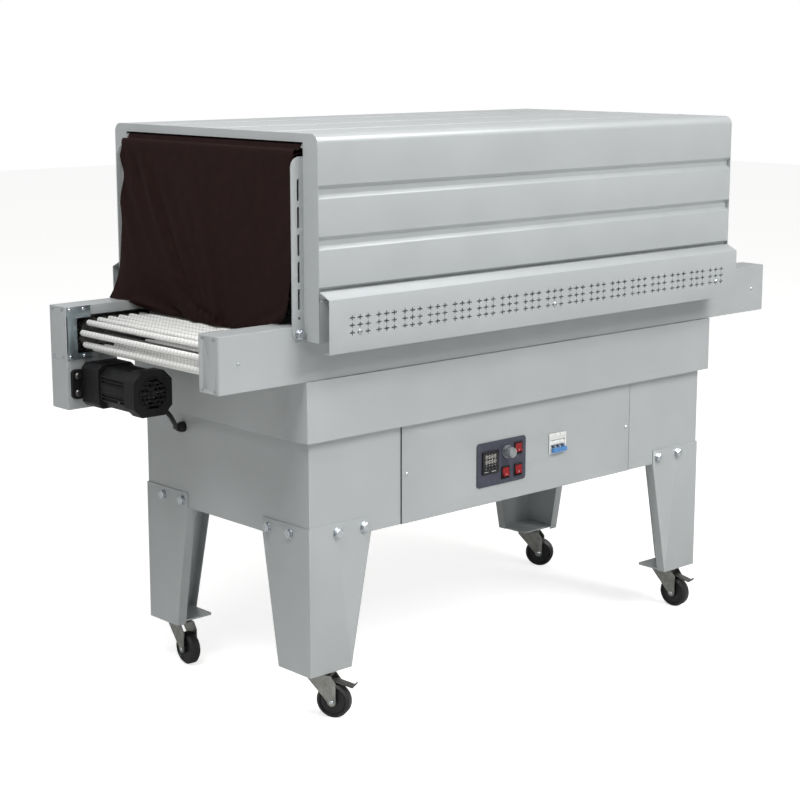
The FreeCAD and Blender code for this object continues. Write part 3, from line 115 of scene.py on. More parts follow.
def raised(tree, height, depth, strength=1.0):
    """Bump of this depth in metres."""
    inputs = {"Height": height, "Distance": depth, "Strength": strength}
    return add(tree, "ShaderNodeBump", inputs).outputs["Normal"]


def powder_coat():
    """Grey polyester powder coat: satin, with orange peel.
    The peel is drawn 3 mm wide, twice its real size, so that it shows."""
    material, tree, shader, place = finish("grey_powder_coat")
    tint(tree, shader, mottle(tree, place, 0.16), "#B3B7B8", "#B9BDBE")
    peel = mottle(tree, place, 0.003)
    tree.links.new(spread(tree, mottle(tree, place, 0.03), 0.31, 0.37), shader.inputs["Roughness"])
    tree.links.new(raised(tree, peel, 0.00005), shader.inputs["Normal"])
    return material


def zinc_plate():
    """Bright zinc plating on steel: greyish metal with faint cloudy patches."""
    material, tree, shader, place = finish("zinc_plating", Metallic=1.0)
    tint(tree, shader, mottle(tree, place, 0.012, 4.0), "#A4A5A2", "#C3C3BF")
    tree.links.new(spread(tree, mottle(tree, place, 0.006), 0.28, 0.46), shader.inputs["Roughness"])
    return material


def dull_zinc():
    """Thin zinc plating on pressed caster parts: darker and duller than the bolts."""
    material, tree, shader, place = finish("dull_zinc_plating", Metallic=1.0)
    tint(tree, shader, mottle(tree, place, 0.012, 3.0), "#83847F", "#9C9D99")
    tree.links.new(spread(tree, mottle(tree, place, 0.005), 0.30, 0.44), shader.inputs["Roughness"])
    return material


def bright_zinc():
    """Blue chromated zinc on bolts and plates: brighter, a little blue, finely brushed."""
    material, tree, shader, place = finish("blue_zinc_plating", Metallic=1.0)
    tint(tree, shader, mottle(tree, place, 0.006, 3.0), "#B4B9BF", "#D3D7DB")
    tree.links.new(spread(tree, mottle(tree, place, 0.002), 0.18, 0.34), shader.inputs["Roughness"])
    return material


def plate_zinc():
    """Blue chromated zinc sheet: even, slightly blue, duller than the bolts."""
    material, tree, shader, place = finish("blue_zinc_sheet", Metallic=1.0)
    tint(tree, shader, mottle(tree, place, 0.04), "#93A0A6", "#A5B1B6")
    tree.links.new(spread(tree, mottle(tree, place, 0.01), 0.38, 0.46), shader.inputs["Roughness"])
    return material


def oiled_steel():
    """Dark oiled chain steel: nearly black metal with greasy, uneven gloss."""
    material, tree, shader, place = finish("oiled_chain_steel", Metallic=1.0)
    tint(tree, shader, mottle(tree, place, 0.008, 4.0), "#4A4946", "#747370")
    tree.links.new(spread(tree, mottle(tree, place, 0.004), 0.25, 0.55), shader.inputs["Roughness"])
    return material


def galvanised():
    """Hot dip galvanised sheet: metal with spangles about 9 mm across."""
    material, tree, shader, place = finish("galvanised_sheet", Metallic=1.0)
    spangle = add(tree, "ShaderNodeTexVoronoi", {"Vector": place, "Scale": 1 / 0.009}).outputs["Color"]
    tint(tree, shader, spangle, "#8B9093", "#A9AEB0")
    tree.links.new(spread(tree, spangle, 0.36, 0.52), shader.inputs["Roughness"])
    return material


def heater_tube():
    """Stainless heater tube, browned by heat in soft bands."""
    material, tree, shader, place = finish("heated_stainless", Metallic=1.0, Roughness=0.38)
    tint(tree, shader, mottle(tree, place, 0.05, 3.0), "#5A4E45", "#8C837B")
    return material


def moulded(name, low, high, rough, grain, depth, gloss=0.5):
    """Moulded plastic or rubber: two close shades and the mould's fine grain."""
    material, tree, shader, place = finish(name, **{"Specular IOR Level": gloss})
    tint(tree, shader, mottle(tree, place, grain * 8), low, high)
    worn = spread(tree, mottle(tree, place, grain * 3), rough - 0.05, rough + 0.06)
    tree.links.new(worn, shader.inputs["Roughness"])
    tree.links.new(raised(tree, mottle(tree, place, grain), depth), shader.inputs["Normal"])
    return material


def silicone_sleeve():
    """White braided silicone sleeve: soft sheen, with strands that wind round it.
    The strands lie 5.6 mm apart along the sleeve and turn round it once in 17 mm."""
    material, tree, shader, _ = finish("white_silicone_sleeve", Roughness=0.42)
    around = add(tree, "ShaderNodeUVMap", uv_map="sleeve").outputs["UV"]
    parts = add(tree, "ShaderNodeSeparateXYZ", {"Vector": around}).outputs
    turns = add(tree, "ShaderNodeMath", {0: parts["X"], 1: 3.0}, operation="MULTIPLY").outputs["Value"]
    inputs = {0: parts["Y"], 1: 1 / 0.0056, 2: turns}
    phase = add(tree, "ShaderNodeMath", inputs, operation="MULTIPLY_ADD").outputs["Value"]
    wound = add(tree, "ShaderNodeMath", {0: phase, 1: 1.0}, operation="PINGPONG").outputs["Value"]
    tint(tree, shader, wound, "#DEDEDA", "#F6F6F4", 0.05, 0.45)
    tree.links.new(raised(tree, wound, 0.0006, 0.5), shader.inputs["Normal"])
    return material


def coated_cloth():
    """Brown coated glass cloth: dull, with its plain weave.
    Threads are drawn 1.6 mm apart, twice the real spacing, so that they show."""
    look = {"Roughness": 0.8, "Sheen Weight": 0.06, "Sheen Roughness": 0.5, "Specular IOR Level": 0.14}
    material, tree, shader, place = finish("brown_coated_cloth", **look)
    shader.inputs["Sheen Tint"].default_value = linear("#8A5A50")
    flat = add(tree, "ShaderNodeUVMap", uv_map="cut").outputs["UV"]
    threads = []
    for direction in ("X", "Y"):
        inputs = {"Vector": flat, "Scale": math.tau / 20 / 0.0016}
        threads.append(add(tree, "ShaderNodeTexWave", inputs, bands_direction=direction).outputs["Fac"])
    weave = add(tree, "ShaderNodeMath", {0: threads[0], 1: threads[1]}, operation="MAXIMUM").outputs["Value"]
    stain = mottle(tree, place, 0.02, 5.0)
    mixed = add(tree, "ShaderNodeMath", {0: weave, 1: stain}, operation="MULTIPLY").outputs["Value"]
    tint(tree, shader, mixed, "#190B0B", "#261413", 0.1, 0.6)
    tree.links.new(raised(tree, weave, 0.0003), shader.inputs["Normal"])
    return material


def smoked_glass():
    """Dark display window: glossy smoked acrylic."""
    material, tree, shader, place = finish("smoked_acrylic", Roughness=0.08, IOR=1.49)
    tint(tree, shader, mottle(tree, place, 0.01), "#101113", "#17181A")
    return material


def red_polycarbonate():
    """Tinted polycarbonate rocker: deep red that lets some light in."""
    look = {
        "Roughness": 0.2, "Coat Weight": 0.25, "Coat Roughness": 0.08,
        "Subsurface Weight": 0.15, "Subsurface Scale": 0.002,
    }
    material, tree, shader, place = finish("red_polycarbonate", **look)
    tint(tree, shader, mottle(tree, place, 0.008), "#8A0810", "#A00C16")
    return material


def printed(name, low, high):
    """Screen printed ink, slightly uneven."""
    material, tree, shader, place = finish(name, Roughness=0.5)
    tint(tree, shader, mottle(tree, place, 0.002), low, high)
    return material


coat = powder_coat()
zinc = zinc_plate()
bolt_zinc = bright_zinc()
caster_zinc = dull_zinc()
sheet_zinc = plate_zinc()
steel = oiled_steel()
galvanised_sheet = galvanised()
heated = heater_tube()
sleeve = silicone_sleeve()
cloth = coated_cloth()
glass = smoked_glass()
red = red_polycarbonate()
slide_plastic = moulded("black_polyethylene", "#1C1D1E", "#242526", 0.5, 0.002, 0.00002)
motor_paint = moulded("black_casting_paint", "#0E0E0F", "#151516", 0.5, 0.0016, 0.00006, 0.3)
rubber = moulded("black_tyre_rubber", "#111112", "#19191A", 0.45, 0.0012, 0.00004, 0.45)
cable_sheath = moulded("black_cable_sheath", "#0F0F10", "#161617", 0.5, 0.001, 0.00002, 0.3)
panel_paint = moulded("slate_panel_paint", "#3F404E", "#484A58", 0.5, 0.0012, 0.00003, 0.35)
black_abs = moulded("black_abs", "#0F1012", "#17181A", 0.38, 0.0012, 0.00002, 0.35)
silver_abs = moulded("silver_painted_abs", "#85888A", "#9A9D9F", 0.32, 0.0012, 0.00002)
white_nylon = moulded("white_breaker_nylon", "#E4E6E4", "#EDEEEC", 0.4, 0.0012, 0.00002)
blue_nylon = moulded("blue_breaker_nylon", "#4A86C2", "#5592CE", 0.4, 0.0012, 0.00002)
# The handles' blue nylon, painted darker for the necks to show the shade they stand in
shaded_blue_nylon = moulded("blue_breaker_nylon_painted_shade", "#1B3558", "#243F66", 0.45, 0.0012, 0.00002)
white_ink = printed("white_screen_ink", "#C9C9C6", "#DCDCDA")
digit_segments = printed("unlit_display_segment", "#C9C4BE", "#DDD8D2")
soft_ink = printed("grey_screen_ink", "#7E7E7B", "#8D8D8A")
blush_ink = printed("faded_rocker_ink", "#D8A9A9", "#E2B8B8")


# Making pieces
def piece(name, mesh, body, material, stands_for=(), smooth=25):
    """Turns a bmesh into a piece that rides on a body."""
    data = bpy.data.meshes.new(name)
    mesh.to_mesh(data)
    mesh.free()
    data.materials.append(material)
    data.shade_smooth()
    data.set_sharp_from_angle(angle=math.radians(smooth))
    made = bpy.data.objects.new(name, data)
    bpy.context.scene.collection.objects.link(made)
    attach(made, body)
    if stands_for:
        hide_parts(*stands_for)
    return made


def eased(node, body, material, width=0.0008, shortest=0.012):
    """The CAD solids with their long sharp edges rounded, as folds and moulded edges are."""
    mesh = bmesh.new()
    mesh.from_mesh(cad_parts[node].data)
    bmesh.ops.remove_doubles(mesh, verts=mesh.verts, dist=0.00001)
    bmesh.ops.dissolve_limit(mesh, angle_limit=math.radians(0.5), verts=mesh.verts, edges=mesh.edges)
    sharp = math.radians(35)
    edges = []
    for edge in mesh.edges:
        if edge.is_manifold and edge.calc_length() > shortest and edge.calc_face_angle() > sharp:
            edges.append(edge)
    bmesh.ops.bevel(
        mesh, geom=edges, offset=width, offset_type="OFFSET", segments=2, profile=0.5,
        affect="EDGES", clamp_overlap=True, material=-1,
    )
    return piece("dressed_" + node, mesh, body, material, [node])


def finish_node(material, *nodes):
    """Gives carried over CAD solids their procedural material."""
    for node in nodes:
        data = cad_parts[node].data
        data.materials.clear()
        data.materials.append(material)


def cylinder(mesh, start, end, radius, sides=24, end_radius=None, caps=True):
    """Adds a cylinder or cone between two points and gives back its vertices."""
    start, end = Vector(start), Vector(end)
    heading = end - start
    turn = heading.to_track_quat("Z", "Y").to_matrix().to_4x4()
    made = bmesh.ops.create_cone(
        mesh, cap_ends=caps, cap_tris=False, segments=sides, radius1=radius,
        radius2=radius if end_radius is None else end_radius, depth=heading.length,
        matrix=Matrix.Translation((start + end) / 2) @ turn,
    )
    return made["verts"]


def block(mesh, low, high, rounding=0.0, segments=2):
    """Adds a box with rounded edges between two corners."""
    low, high = Vector(low), Vector(high)
    size = high - low
    matrix = Matrix.Translation((low + high) / 2) @ Matrix.Diagonal((*size, 1))
    made = bmesh.ops.create_cube(mesh, size=1.0, matrix=matrix)
    if rounding:
        edges = list({edge for vert in made["verts"] for edge in vert.link_edges})
        bmesh.ops.bevel(
            mesh, geom=edges, offset=rounding, offset_type="OFFSET", segments=segments,
            profile=0.5, affect="EDGES", clamp_overlap=True, material=-1,
        )
    return made["verts"]


def hex_bolt(mesh, face, outward, flats=0.017, washer=0.011, sheet=0.002, head=0.0064):
    """Washer, spring washer and chamfered hexagon head, on a face."""
    face, outward = Vector(face), Vector(outward).normalized()
    cylinder(mesh, face, face + outward * sheet * 0.55, washer, 28)
    cylinder(mesh, face + outward * sheet * 0.55, face + outward * sheet, flats * 0.52, 24)
    radius = flats / math.sqrt(3)
    seat = face + outward * sheet
    cylinder(mesh, seat, seat + outward * head * 0.78, radius, 6)
    cylinder(mesh, seat + outward * head * 0.78, seat + outward * head, radius, 6, radius * 0.8)


def pan_screw(mesh, face, outward, radius=0.004, height=0.0022):
    """Low domed head."""
    face, outward = Vector(face), Vector(outward).normalized()
    cylinder(mesh, face, face + outward * height * 0.5, radius, 20)
    cylinder(mesh, face + outward * height * 0.5, face + outward * height, radius, 20, radius * 0.72)
    return face + outward * height


# Camera, at the photograph's place
camera_data = bpy.data.cameras.new("photo_camera")
camera_data.lens = 81.465
camera_data.sensor_width = 36.0
camera_data.shift_y = -0.0048
camera_data.clip_end = 60.0
camera = bpy.data.objects.new("photo_camera", camera_data)
bpy.context.scene.collection.objects.link(camera)
yaw, pitch = math.radians(42.391), math.radians(11.066)
sight = Vector((math.sin(yaw) * math.cos(pitch), math.cos(yaw) * math.cos(pitch), -math.sin(pitch)))
camera.location = (-2.7344, -2.8780, 1.3212)
camera.rotation_mode = "QUATERNION"
camera.rotation_quaternion = sight.to_track_quat("-Z", "Y")
bpy.context.scene.camera = camera

# Motor cable: the same route points as the source, straight out of the motor and into the gland
CABLE_ROUTE = [
    (-0.7010, 0.0500, 0.6060),
    (-0.6850, 0.0500, 0.5900),
    (-0.6680, 0.0640, 0.5745),
    (-0.6480, 0.0860, 0.5610),
    (-0.6320, 0.1060, 0.5510),
    (-0.6210, 0.1250, 0.5435),
    (-0.6065, 0.1370, 0.5390),
]
cable_curve = bpy.data.curves.new("motor_cable_line", "CURVE")
cable_curve.dimensions = "3D"
line = cable_curve.splines.new("NURBS")
line.points.add(len(CABLE_ROUTE) - 1)
for point, place in zip(line.points, CABLE_ROUTE):
    point.co = (*place, 1.0)
line.order_u = 3
line.use_endpoint_u = True
cable_curve.bevel_depth = 0.0048
cable_curve.bevel_resolution = 6
cable_curve.resolution_u = 16
cable_curve.use_fill_caps = True
cable_curve.materials.append(cable_sheath)
cable = bpy.data.objects.new("motor_lead", cable_curve)
bpy.context.scene.collection.objects.link(cable)
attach(cable, "machine")
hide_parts("motor_cable")

# Sheet metal
for node in ("front_rail", "rear_rail", "rail_end_caps", "drive_box", "cabinet_band", "cabinet_shell"):
    eased(node, "machine", coat)
for node in ("control_door", "legs", "foot_plates", "hood_shell", "hood_end_frames", "side_skirts"):
    eased(node, "machine", coat, 0.0007)
eased("nose_plates", "machine", sheet_zinc, 0.0005)
finish_node(galvanised_sheet, "tunnel_deck", "hood_liner", "blower_impeller")
finish_node(zinc, "shaft_bearings", "curtain_rods")
finish_node(steel, "caster_plates")
finish_node(steel, "drive_shaft", "idle_shaft", "output_shaft", "drive_chain")
finish_node(heated, "heater_tubes")
finish_node(slide_plastic, "chain_guides")
finish_node(motor_paint, "blower_motor")
finish_node(silver_abs, "motor_fan")
finish_node(cable_sheath, "cable_gland")
# Casters: swivel axis and turn of each one as in the source, with rivet heads on the axle
CASTERS = {"front_left": (-0.5350, -0.2350, 29.0), "front_right": (0.5470, -0.2240, 8.0),
           "rear_left": (-0.5470, 0.2240, -4.0), "rear_right": (0.5470, 0.2240, 33.0)}
for corner, (x, y, turn) in CASTERS.items():
    eased(corner + "_fork", corner + "_swivel", caster_zinc, 0.0006, 0.004)
    finish_node(rubber, corner + "_wheel")
    place = Matrix.Translation((x, y, 0)) @ Matrix.Rotation(math.radians(turn), 4, "Z")
    mesh = bmesh.new()
    for side in (-1, 1):
        start = Vector((side * 0.0188, -0.028, 0.035))
        cylinder(mesh, start, start + Vector((side * 0.0008, 0, 0)), 0.0046, 20, 0.0040)
        rim, crown = (start + Vector((side * out, 0, 0)) for out in (0.0008, 0.0016))
        cylinder(mesh, rim, crown, 0.0040, 20, 0.0022)
    bmesh.ops.transform(mesh, matrix=place, verts=mesh.verts)
    bmesh.ops.recalc_face_normals(mesh, faces=mesh.faces)
    piece(corner + "_rivets", mesh, corner + "_swivel", bolt_zinc)
for corner in ("front_left", "front_right"):
    eased(corner + "_brake", corner + "_brake", steel, 0.0004, 0.004)


# Curtain cloth: cut, sewn round its rod and left to settle by simulation
ROD = Vector((-0.603, 0.0, 1.131))
CLOTH_DROP = 0.366
TOP_HALF = 0.2790
# X and Z of the sewn pocket's rows, measured from the rod's middle
POCKET = [
    (-0.0242, -0.0140), (-0.0160, -0.0122), (-0.0060, -0.0100), (0.0, -0.0074), (0.0052, -0.0050),
    (0.0070, 0.0), (0.0050, 0.0052), (0.0, 0.0073), (-0.0053, 0.0051), (-0.0074, -0.0010),
    (-0.0116, -0.0053), (-0.0195, -0.0028), (-0.0236, -0.0052), (-0.0250, -0.0140),
]
LOOP_ROWS = 26
DROP_ROWS = 76
COLUMNS = 124
# Where the bottom edge lies on the rails and rollers, from the rear corner to the front one
BOTTOM_EDGE = [
    (-0.668, 0.280, 0.8012), (-0.668, 0.250, 0.8012), (-0.661, 0.226, 0.8000), (-0.652, 0.202, 0.7900),
    (-0.636, 0.162, 0.7790), (-0.631, 0.100, 0.7780), (-0.634, 0.040, 0.7780), (-0.643, -0.050, 0.7780),
    (-0.634, -0.105, 0.7785), (-0.637, -0.172, 0.7870), (-0.640, -0.222, 0.8010), (-0.634, -0.244, 0.8020),
]
# How far towards the front a fold has run at each height, and the folds' places, depths and widths
FOLD_RUN = [
    (0.780, -0.335), (0.795, -0.302), (0.819, -0.203), (0.861, -0.124),
    (0.933, -0.077), (1.010, -0.033), (1.090, 0.0), (1.140, 0.02),
]
FOLDS = [
    (0.262, 0.004, 0.014), (0.232, -0.009, 0.015), (0.196, 0.005, 0.022), (0.150, -0.0015, 0.02),
    (0.112, 0.002, 0.024), (0.060, -0.0012, 0.02), (0.010, 0.0012, 0.022), (-0.070, -0.0012, 0.02),
    (-0.150, 0.001, 0.02), (-0.200, 0.002, 0.016),
]


def blend_along(points, at):
    """Value read off a list of (position, value) pairs."""
    for (a, low), (b, high) in zip(points, points[1:]):
        if at <= b:
            share = max(0.0, (at - a) / (b - a))
            share = share * share * (3 - 2 * share) if len(points) < 4 else share
            return low + (high - low) * share
    return points[-1][1]


def edge_place(share):
    """Place on the bottom edge, as a share of its length from the rear corner."""
    points = [Vector(point) for point in BOTTOM_EDGE]
    steps = [(b - a).length for a, b in zip(points, points[1:])]
    left = share * sum(steps)
    for (a, b), step in zip(zip(points, points[1:]), steps):
        if left <= step + 1e-9:
            return a.lerp(b, left / step)
        left -= step
    return points[-1]


def hem_path(share):
    """Place beside the rod of one row of the sewn pocket: under and behind the rod,
    over it and down in front to the same seam."""
    steps = [math.dist(a, b) for a, b in zip(POCKET, POCKET[1:])]
    left = share * sum(steps)
    for a, b, step in zip(POCKET, POCKET[1:], steps):
        if left <= step + 1e-9:
            part = left / step
            return a[0] + (b[0] - a[0]) * part, a[1] + (b[1] - a[1]) * part
        left -= step
    return POCKET[-1]


def draped_place(across, down):
    """Place of a point of the cloth as laid out before it settles."""
    foot = edge_place(0.5 - across)
    top = ROD + Vector((POCKET[-1][0], across * 2 * TOP_HALF, POCKET[-1][1]))
    place = top.lerp(foot, down)
    place.y = top.y + (foot.y - top.y) * (0.08 * down + 0.92 * down ** 9)
    bulge = -0.634 + 0.010 * (1 - down) ** 3
    body = top.x + (bulge - top.x) * min(1.0, down / 0.08) ** 0.5
    rear = math.exp(-((0.5 - across) / 0.05) ** 2) * math.exp(-(down / 0.4) ** 2)
    body -= 0.0065 * math.cos((place.z - 1.098) / 0.1 * math.tau) * rear * min(1.0, 12 * down)
    place.x = body + (foot.x - body) * down ** 7
    run = blend_along(FOLD_RUN, place.z)
    for start, depth, width in FOLDS:
        gap = place.y - start - run
        place.x -= depth * math.exp(-(gap / width) ** 2) * min(1.0, 6 * down) * min(1.0, 14 * (1 - down))
    place.y = max(-0.2805, min(0.2805, place.y))
    return place


def hung_cloth():
    """Mesh of one curtain after it has settled on the rails and rollers."""
    mesh = bmesh.new()
    rows = LOOP_ROWS + DROP_ROWS
    bmesh.ops.create_grid(mesh, x_segments=COLUMNS, y_segments=rows, size=0.5)
    layer = mesh.loops.layers.uv.new("cut")
    hem = sum(math.dist(a, b) for a, b in zip(POCKET, POCKET[1:]))
    held, places = [], []
    for vert in mesh.verts:
        across, row = vert.co.x, round((0.5 - vert.co.y) * rows)
        if row <= LOOP_ROWS:
            x, z = hem_path(row / LOOP_ROWS)
            places.append(ROD + Vector((x, across * 2 * TOP_HALF, z)))
        else:
            places.append(draped_place(across, (row - LOOP_ROWS) / DROP_ROWS))
        if row <= LOOP_ROWS or row == rows or abs(across) > 0.5 - 0.5 / COLUMNS:
            held.append(vert.index)
    for face in mesh.faces:
        for corner in face.loops:
            across, row = corner.vert.co.x, (0.5 - corner.vert.co.y) * rows
            length = hem * min(row, LOOP_ROWS) / LOOP_ROWS + CLOTH_DROP * max(0, row - LOOP_ROWS) / DROP_ROWS
            corner[layer].uv = (across * CLOTH_CUT[0], length)
    for vert, place in zip(mesh.verts, places):
        vert.co = place
    data = bpy.data.meshes.new("cloth_grid")
    mesh.to_mesh(data)
    mesh.free()
    grid = bpy.data.objects.new("cloth_grid", data)
    bpy.context.scene.collection.objects.link(grid)
    grid.vertex_groups.new(name="held").add(held, 1.0, "REPLACE")

    trough = bmesh.new()
    profile = [(-0.2835, 1.0), (-0.2835, 0.7995), (-0.2225, 0.7995), (-0.2225, 0.7780),
               (0.2225, 0.7780), (0.2225, 0.7995), (0.2835, 0.7995), (0.2835, 1.0)]
    ring = [trough.verts.new((-0.76, y, z)) for y, z in profile]
    edges = [trough.edges.new(pair) for pair in zip(ring, ring[1:])]
    made = bmesh.ops.extrude_edge_only(trough, edges=edges)
    moved = [item for item in made["geom"] if isinstance(item, bmesh.types.BMVert)]
    bmesh.ops.translate(trough, verts=moved, vec=(0.32, 0, 0))
    bmesh.ops.recalc_face_normals(trough, faces=trough.faces)
    stop_data = bpy.data.meshes.new("bed_stop")
    trough.to_mesh(stop_data)
    trough.free()
    stop = bpy.data.objects.new("bed_stop", stop_data)
    bpy.context.scene.collection.objects.link(stop)
    stop.modifiers.new("stop", "COLLISION")
    stop.collision.thickness_outer = 0.001

    run = grid.modifiers.new("cloth", "CLOTH")
    settings = run.settings
    settings.quality = 6
    settings.mass = 0.2
    settings.tension_stiffness = 40
    settings.compression_stiffness = 40
    settings.shear_stiffness = 20
    settings.bending_stiffness = 4.0
    settings.tension_damping = 15
    settings.compression_damping = 15
    settings.shear_damping = 12
    settings.bending_damping = 2.0
    settings.air_damping = 3.0
    settings.vertex_group_mass = "held"
    run.collision_settings.distance_min = 0.001
    frames = 36
    run.point_cache.frame_start = 1
    run.point_cache.frame_end = frames
    for number in range(1, frames + 1):
        bpy.context.scene.frame_set(number)
    settled = bpy.data.meshes.new_from_object(grid.evaluated_get(bpy.context.evaluated_depsgraph_get()))
    bpy.context.scene.frame_set(1)
    for vert in settled.vertices:
        lowest = 0.8006 if abs(vert.co.y) > 0.2235 else 0.7768
        vert.co.z = max(vert.co.z, lowest)
    for spent in (grid, stop):
        bpy.data.objects.remove(spent, do_unlink=True)
    return settled


def hang_curtain(settled, turn, body, node, name):
    """Puts a settled cloth, turned to its end of the tunnel, on the curtain's body."""
    cut = settled.copy()
    cut.transform(Matrix.Rotation(turn, 4, "Z"))
    cut.name = name
    cut.materials.clear()
    cut.materials.append(cloth)
    cut.shade_smooth()
    made = bpy.data.objects.new(name, cut)
    bpy.context.scene.collection.objects.link(made)
    thick = made.modifiers.new("thickness", "SOLIDIFY")
    thick.thickness = 0.0008
    thick.offset = 0.0
    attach(made, body)
    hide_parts(node)


CLOTH_CUT = (0.575, 0.420)
settled_cloth = hung_cloth()
hang_curtain(settled_cloth, 0.0, "entrance_curtain", "entrance_curtain", "entrance_cloth")
hang_curtain(settled_cloth, math.pi, "exit_curtain", "exit_curtain", "exit_cloth")


# Motor and gearbox
eased("motor_body", "machine", motor_paint, 0.0016, 0.006)
eased("gearbox", "machine", motor_paint, 0.0012, 0.006)


def ring(mesh, middle, axis, inner, outer, height, sides=32):
    """Flat ring that stands up from a face."""
    middle, axis = Vector(middle), Vector(axis).normalized()
    turn = axis.to_track_quat("Z", "Y").to_matrix().to_4x4()
    place = Matrix.Translation(middle) @ turn
    corners = [(inner, 0.0), (inner, height), (outer, height), (outer, 0.0)]
    verts = [mesh.verts.new(place @ Vector((r, 0, h))) for r, h in corners]
    edges = [mesh.edges.new((verts[i], verts[(i + 1) % 4])) for i in range(4)]
    bmesh.ops.spin(
        mesh, geom=verts + edges, cent=middle, axis=axis, angle=math.tau, steps=sides, use_merge=True,
    )


MOTOR = Vector((-0.737, 0.030, 0.642))
mesh = bmesh.new()
for inner, outer, height in ((0.0305, 0.0335, 0.0016), (0.0225, 0.0245, 0.0012), (0.0135, 0.0155, 0.0012)):
    ring(mesh, MOTOR, (0, -1, 0), inner, outer, height, 48)
cylinder(mesh, MOTOR, MOTOR + Vector((0, -0.0014, 0)), 0.0062, 24)
for side_x in (-1, 1):
    for side_z in (-1, 1):
        pan_screw(mesh, MOTOR + Vector((side_x * 0.0335, 0, side_z * 0.0335)), (0, -1, 0), 0.0032, 0.0022)
bmesh.ops.remove_doubles(mesh, verts=mesh.verts, dist=0.00001)
bmesh.ops.recalc_face_normals(mesh, faces=mesh.faces)
piece("motor_grille_rings", mesh, "machine", motor_paint)
mesh = bmesh.new()
for x, z in ((-0.7914, 0.6600), (-0.7914, 0.6250)):
    pan_screw(mesh, (x, 0.216, z), (0, -1, 0), 0.0068, 0.0045)
pan_screw(mesh, (-0.7784, 0.0885, 0.6215), (-1, 0, 0), 0.0028, 0.0016)
bmesh.ops.recalc_face_normals(mesh, faces=mesh.faces)
piece("gearbox_flange_bolts", mesh, "machine", steel)
mesh = bmesh.new()
block(mesh, (-0.7788, 0.0665, 0.6335), (-0.7774, 0.1550, 0.6505), 0.0003)
piece("motor_label_plate", mesh, "machine", motor_paint)

# Controls
eased("control_plate", "machine", panel_paint, 0.0006)
eased("temperature_controller", "machine", black_abs, 0.0006, 0.006)
eased("rocker_bezels", "machine", black_abs, 0.0006, 0.006)
for rocker in ("power_rocker", "fan_rocker", "conveyor_rocker"):
    eased(rocker, rocker, red, 0.0006, 0.003)
eased("speed_knob", "speed_knob", silver_abs, 0.0008, 0.0009)
KNOB = Vector((-0.0515, -0.2743, 0.4725))
mesh = bmesh.new()
for index in range(24):
    rib = block(mesh, (0.0105, -0.0125, -0.0005), (0.0121, -0.0032, 0.0005))
    turned = Matrix.Rotation(index * math.tau / 24, 4, "Y")
    bmesh.ops.transform(mesh, matrix=Matrix.Translation(KNOB) @ turned, verts=rib)
bmesh.ops.recalc_face_normals(mesh, faces=mesh.faces)
piece("knob_ribs", mesh, "speed_knob", silver_abs)
mesh = bmesh.new()
ring(mesh, KNOB + Vector((0, -0.0030, 0)), (0, -1, 0), 0.0122, 0.0132, 0.0006, 40)
bmesh.ops.remove_doubles(mesh, verts=mesh.verts, dist=0.00001)
bmesh.ops.recalc_face_normals(mesh, faces=mesh.faces)
piece("knob_rings", mesh, "speed_knob", bolt_zinc)
eased("breaker_body", "machine", white_nylon, 0.0006, 0.006)
for index in range(4):
    key = "controller_key_" + str(index + 1)
    eased(key, key, black_abs, 0.0004, 0.001)

mesh = bmesh.new()
block(mesh, (-0.1217, -0.27665, 0.4481), (-0.0819, -0.2763, 0.4759))
piece("display_window", mesh, "machine", glass)


def bar(mesh, x, z, width, height, front, back):
    """Printed or moulded bar that faces the control side."""
    block(mesh, (x - width / 2, front, z - height / 2), (x + width / 2, back, z + height / 2))


def digit(mesh, x, z, width=0.0048, height=0.0068, stroke=0.0012):
    """Seven segment figure, all segments showing."""
    half_w, half_h = width / 2, height / 2
    for rise in (-half_h, 0, half_h):
        bar(mesh, x, z + rise, width - 1.3 * stroke, stroke, -0.27675, -0.27663)
    for side in (-1, 1):
        for rise in (-half_h / 2, half_h / 2):
            bar(mesh, x + side * half_w, z + rise, stroke, half_h - 1.3 * stroke, -0.27675, -0.27663)


mesh = bmesh.new()
for row, z in enumerate((0.4690, 0.4586)):
    for column in range(4):
        digit(mesh, -0.1143 + column * 0.0083, z)
piece("display_figures", mesh, "machine", digit_segments)
mesh = bmesh.new()
for column in range(4):
    bar(mesh, -0.1143 + column * 0.0083, 0.4502, 0.0022, 0.0008, -0.27675, -0.27663)
for x, width in ((-0.1150, 0.0110), (-0.0930, 0.0130)):
    bar(mesh, x, 0.4372, width, 0.0011, -0.27712, -0.27695)
piece("controller_marks", mesh, "machine", white_ink)

KEY_Y = -0.2776
for index, sides in enumerate((24, 3, 3, 3)):
    mesh = bmesh.new()
    x = -0.1168 + index * 0.010
    turned = (0, math.pi, math.pi / 2, -math.pi / 2)[index]
    made = bmesh.ops.create_cone(
        mesh, cap_ends=True, segments=sides, radius1=0.0015, radius2=0.0015, depth=0.00012,
        matrix=(
            Matrix.Translation((x, KEY_Y - 0.00004, 0.444))
            @ Matrix.Rotation(math.pi / 2, 4, "X") @ Matrix.Rotation(turned, 4, "Z")
        ),
    )
    piece("key_mark_" + str(index + 1), mesh, "controller_key_" + str(index + 1), soft_ink)

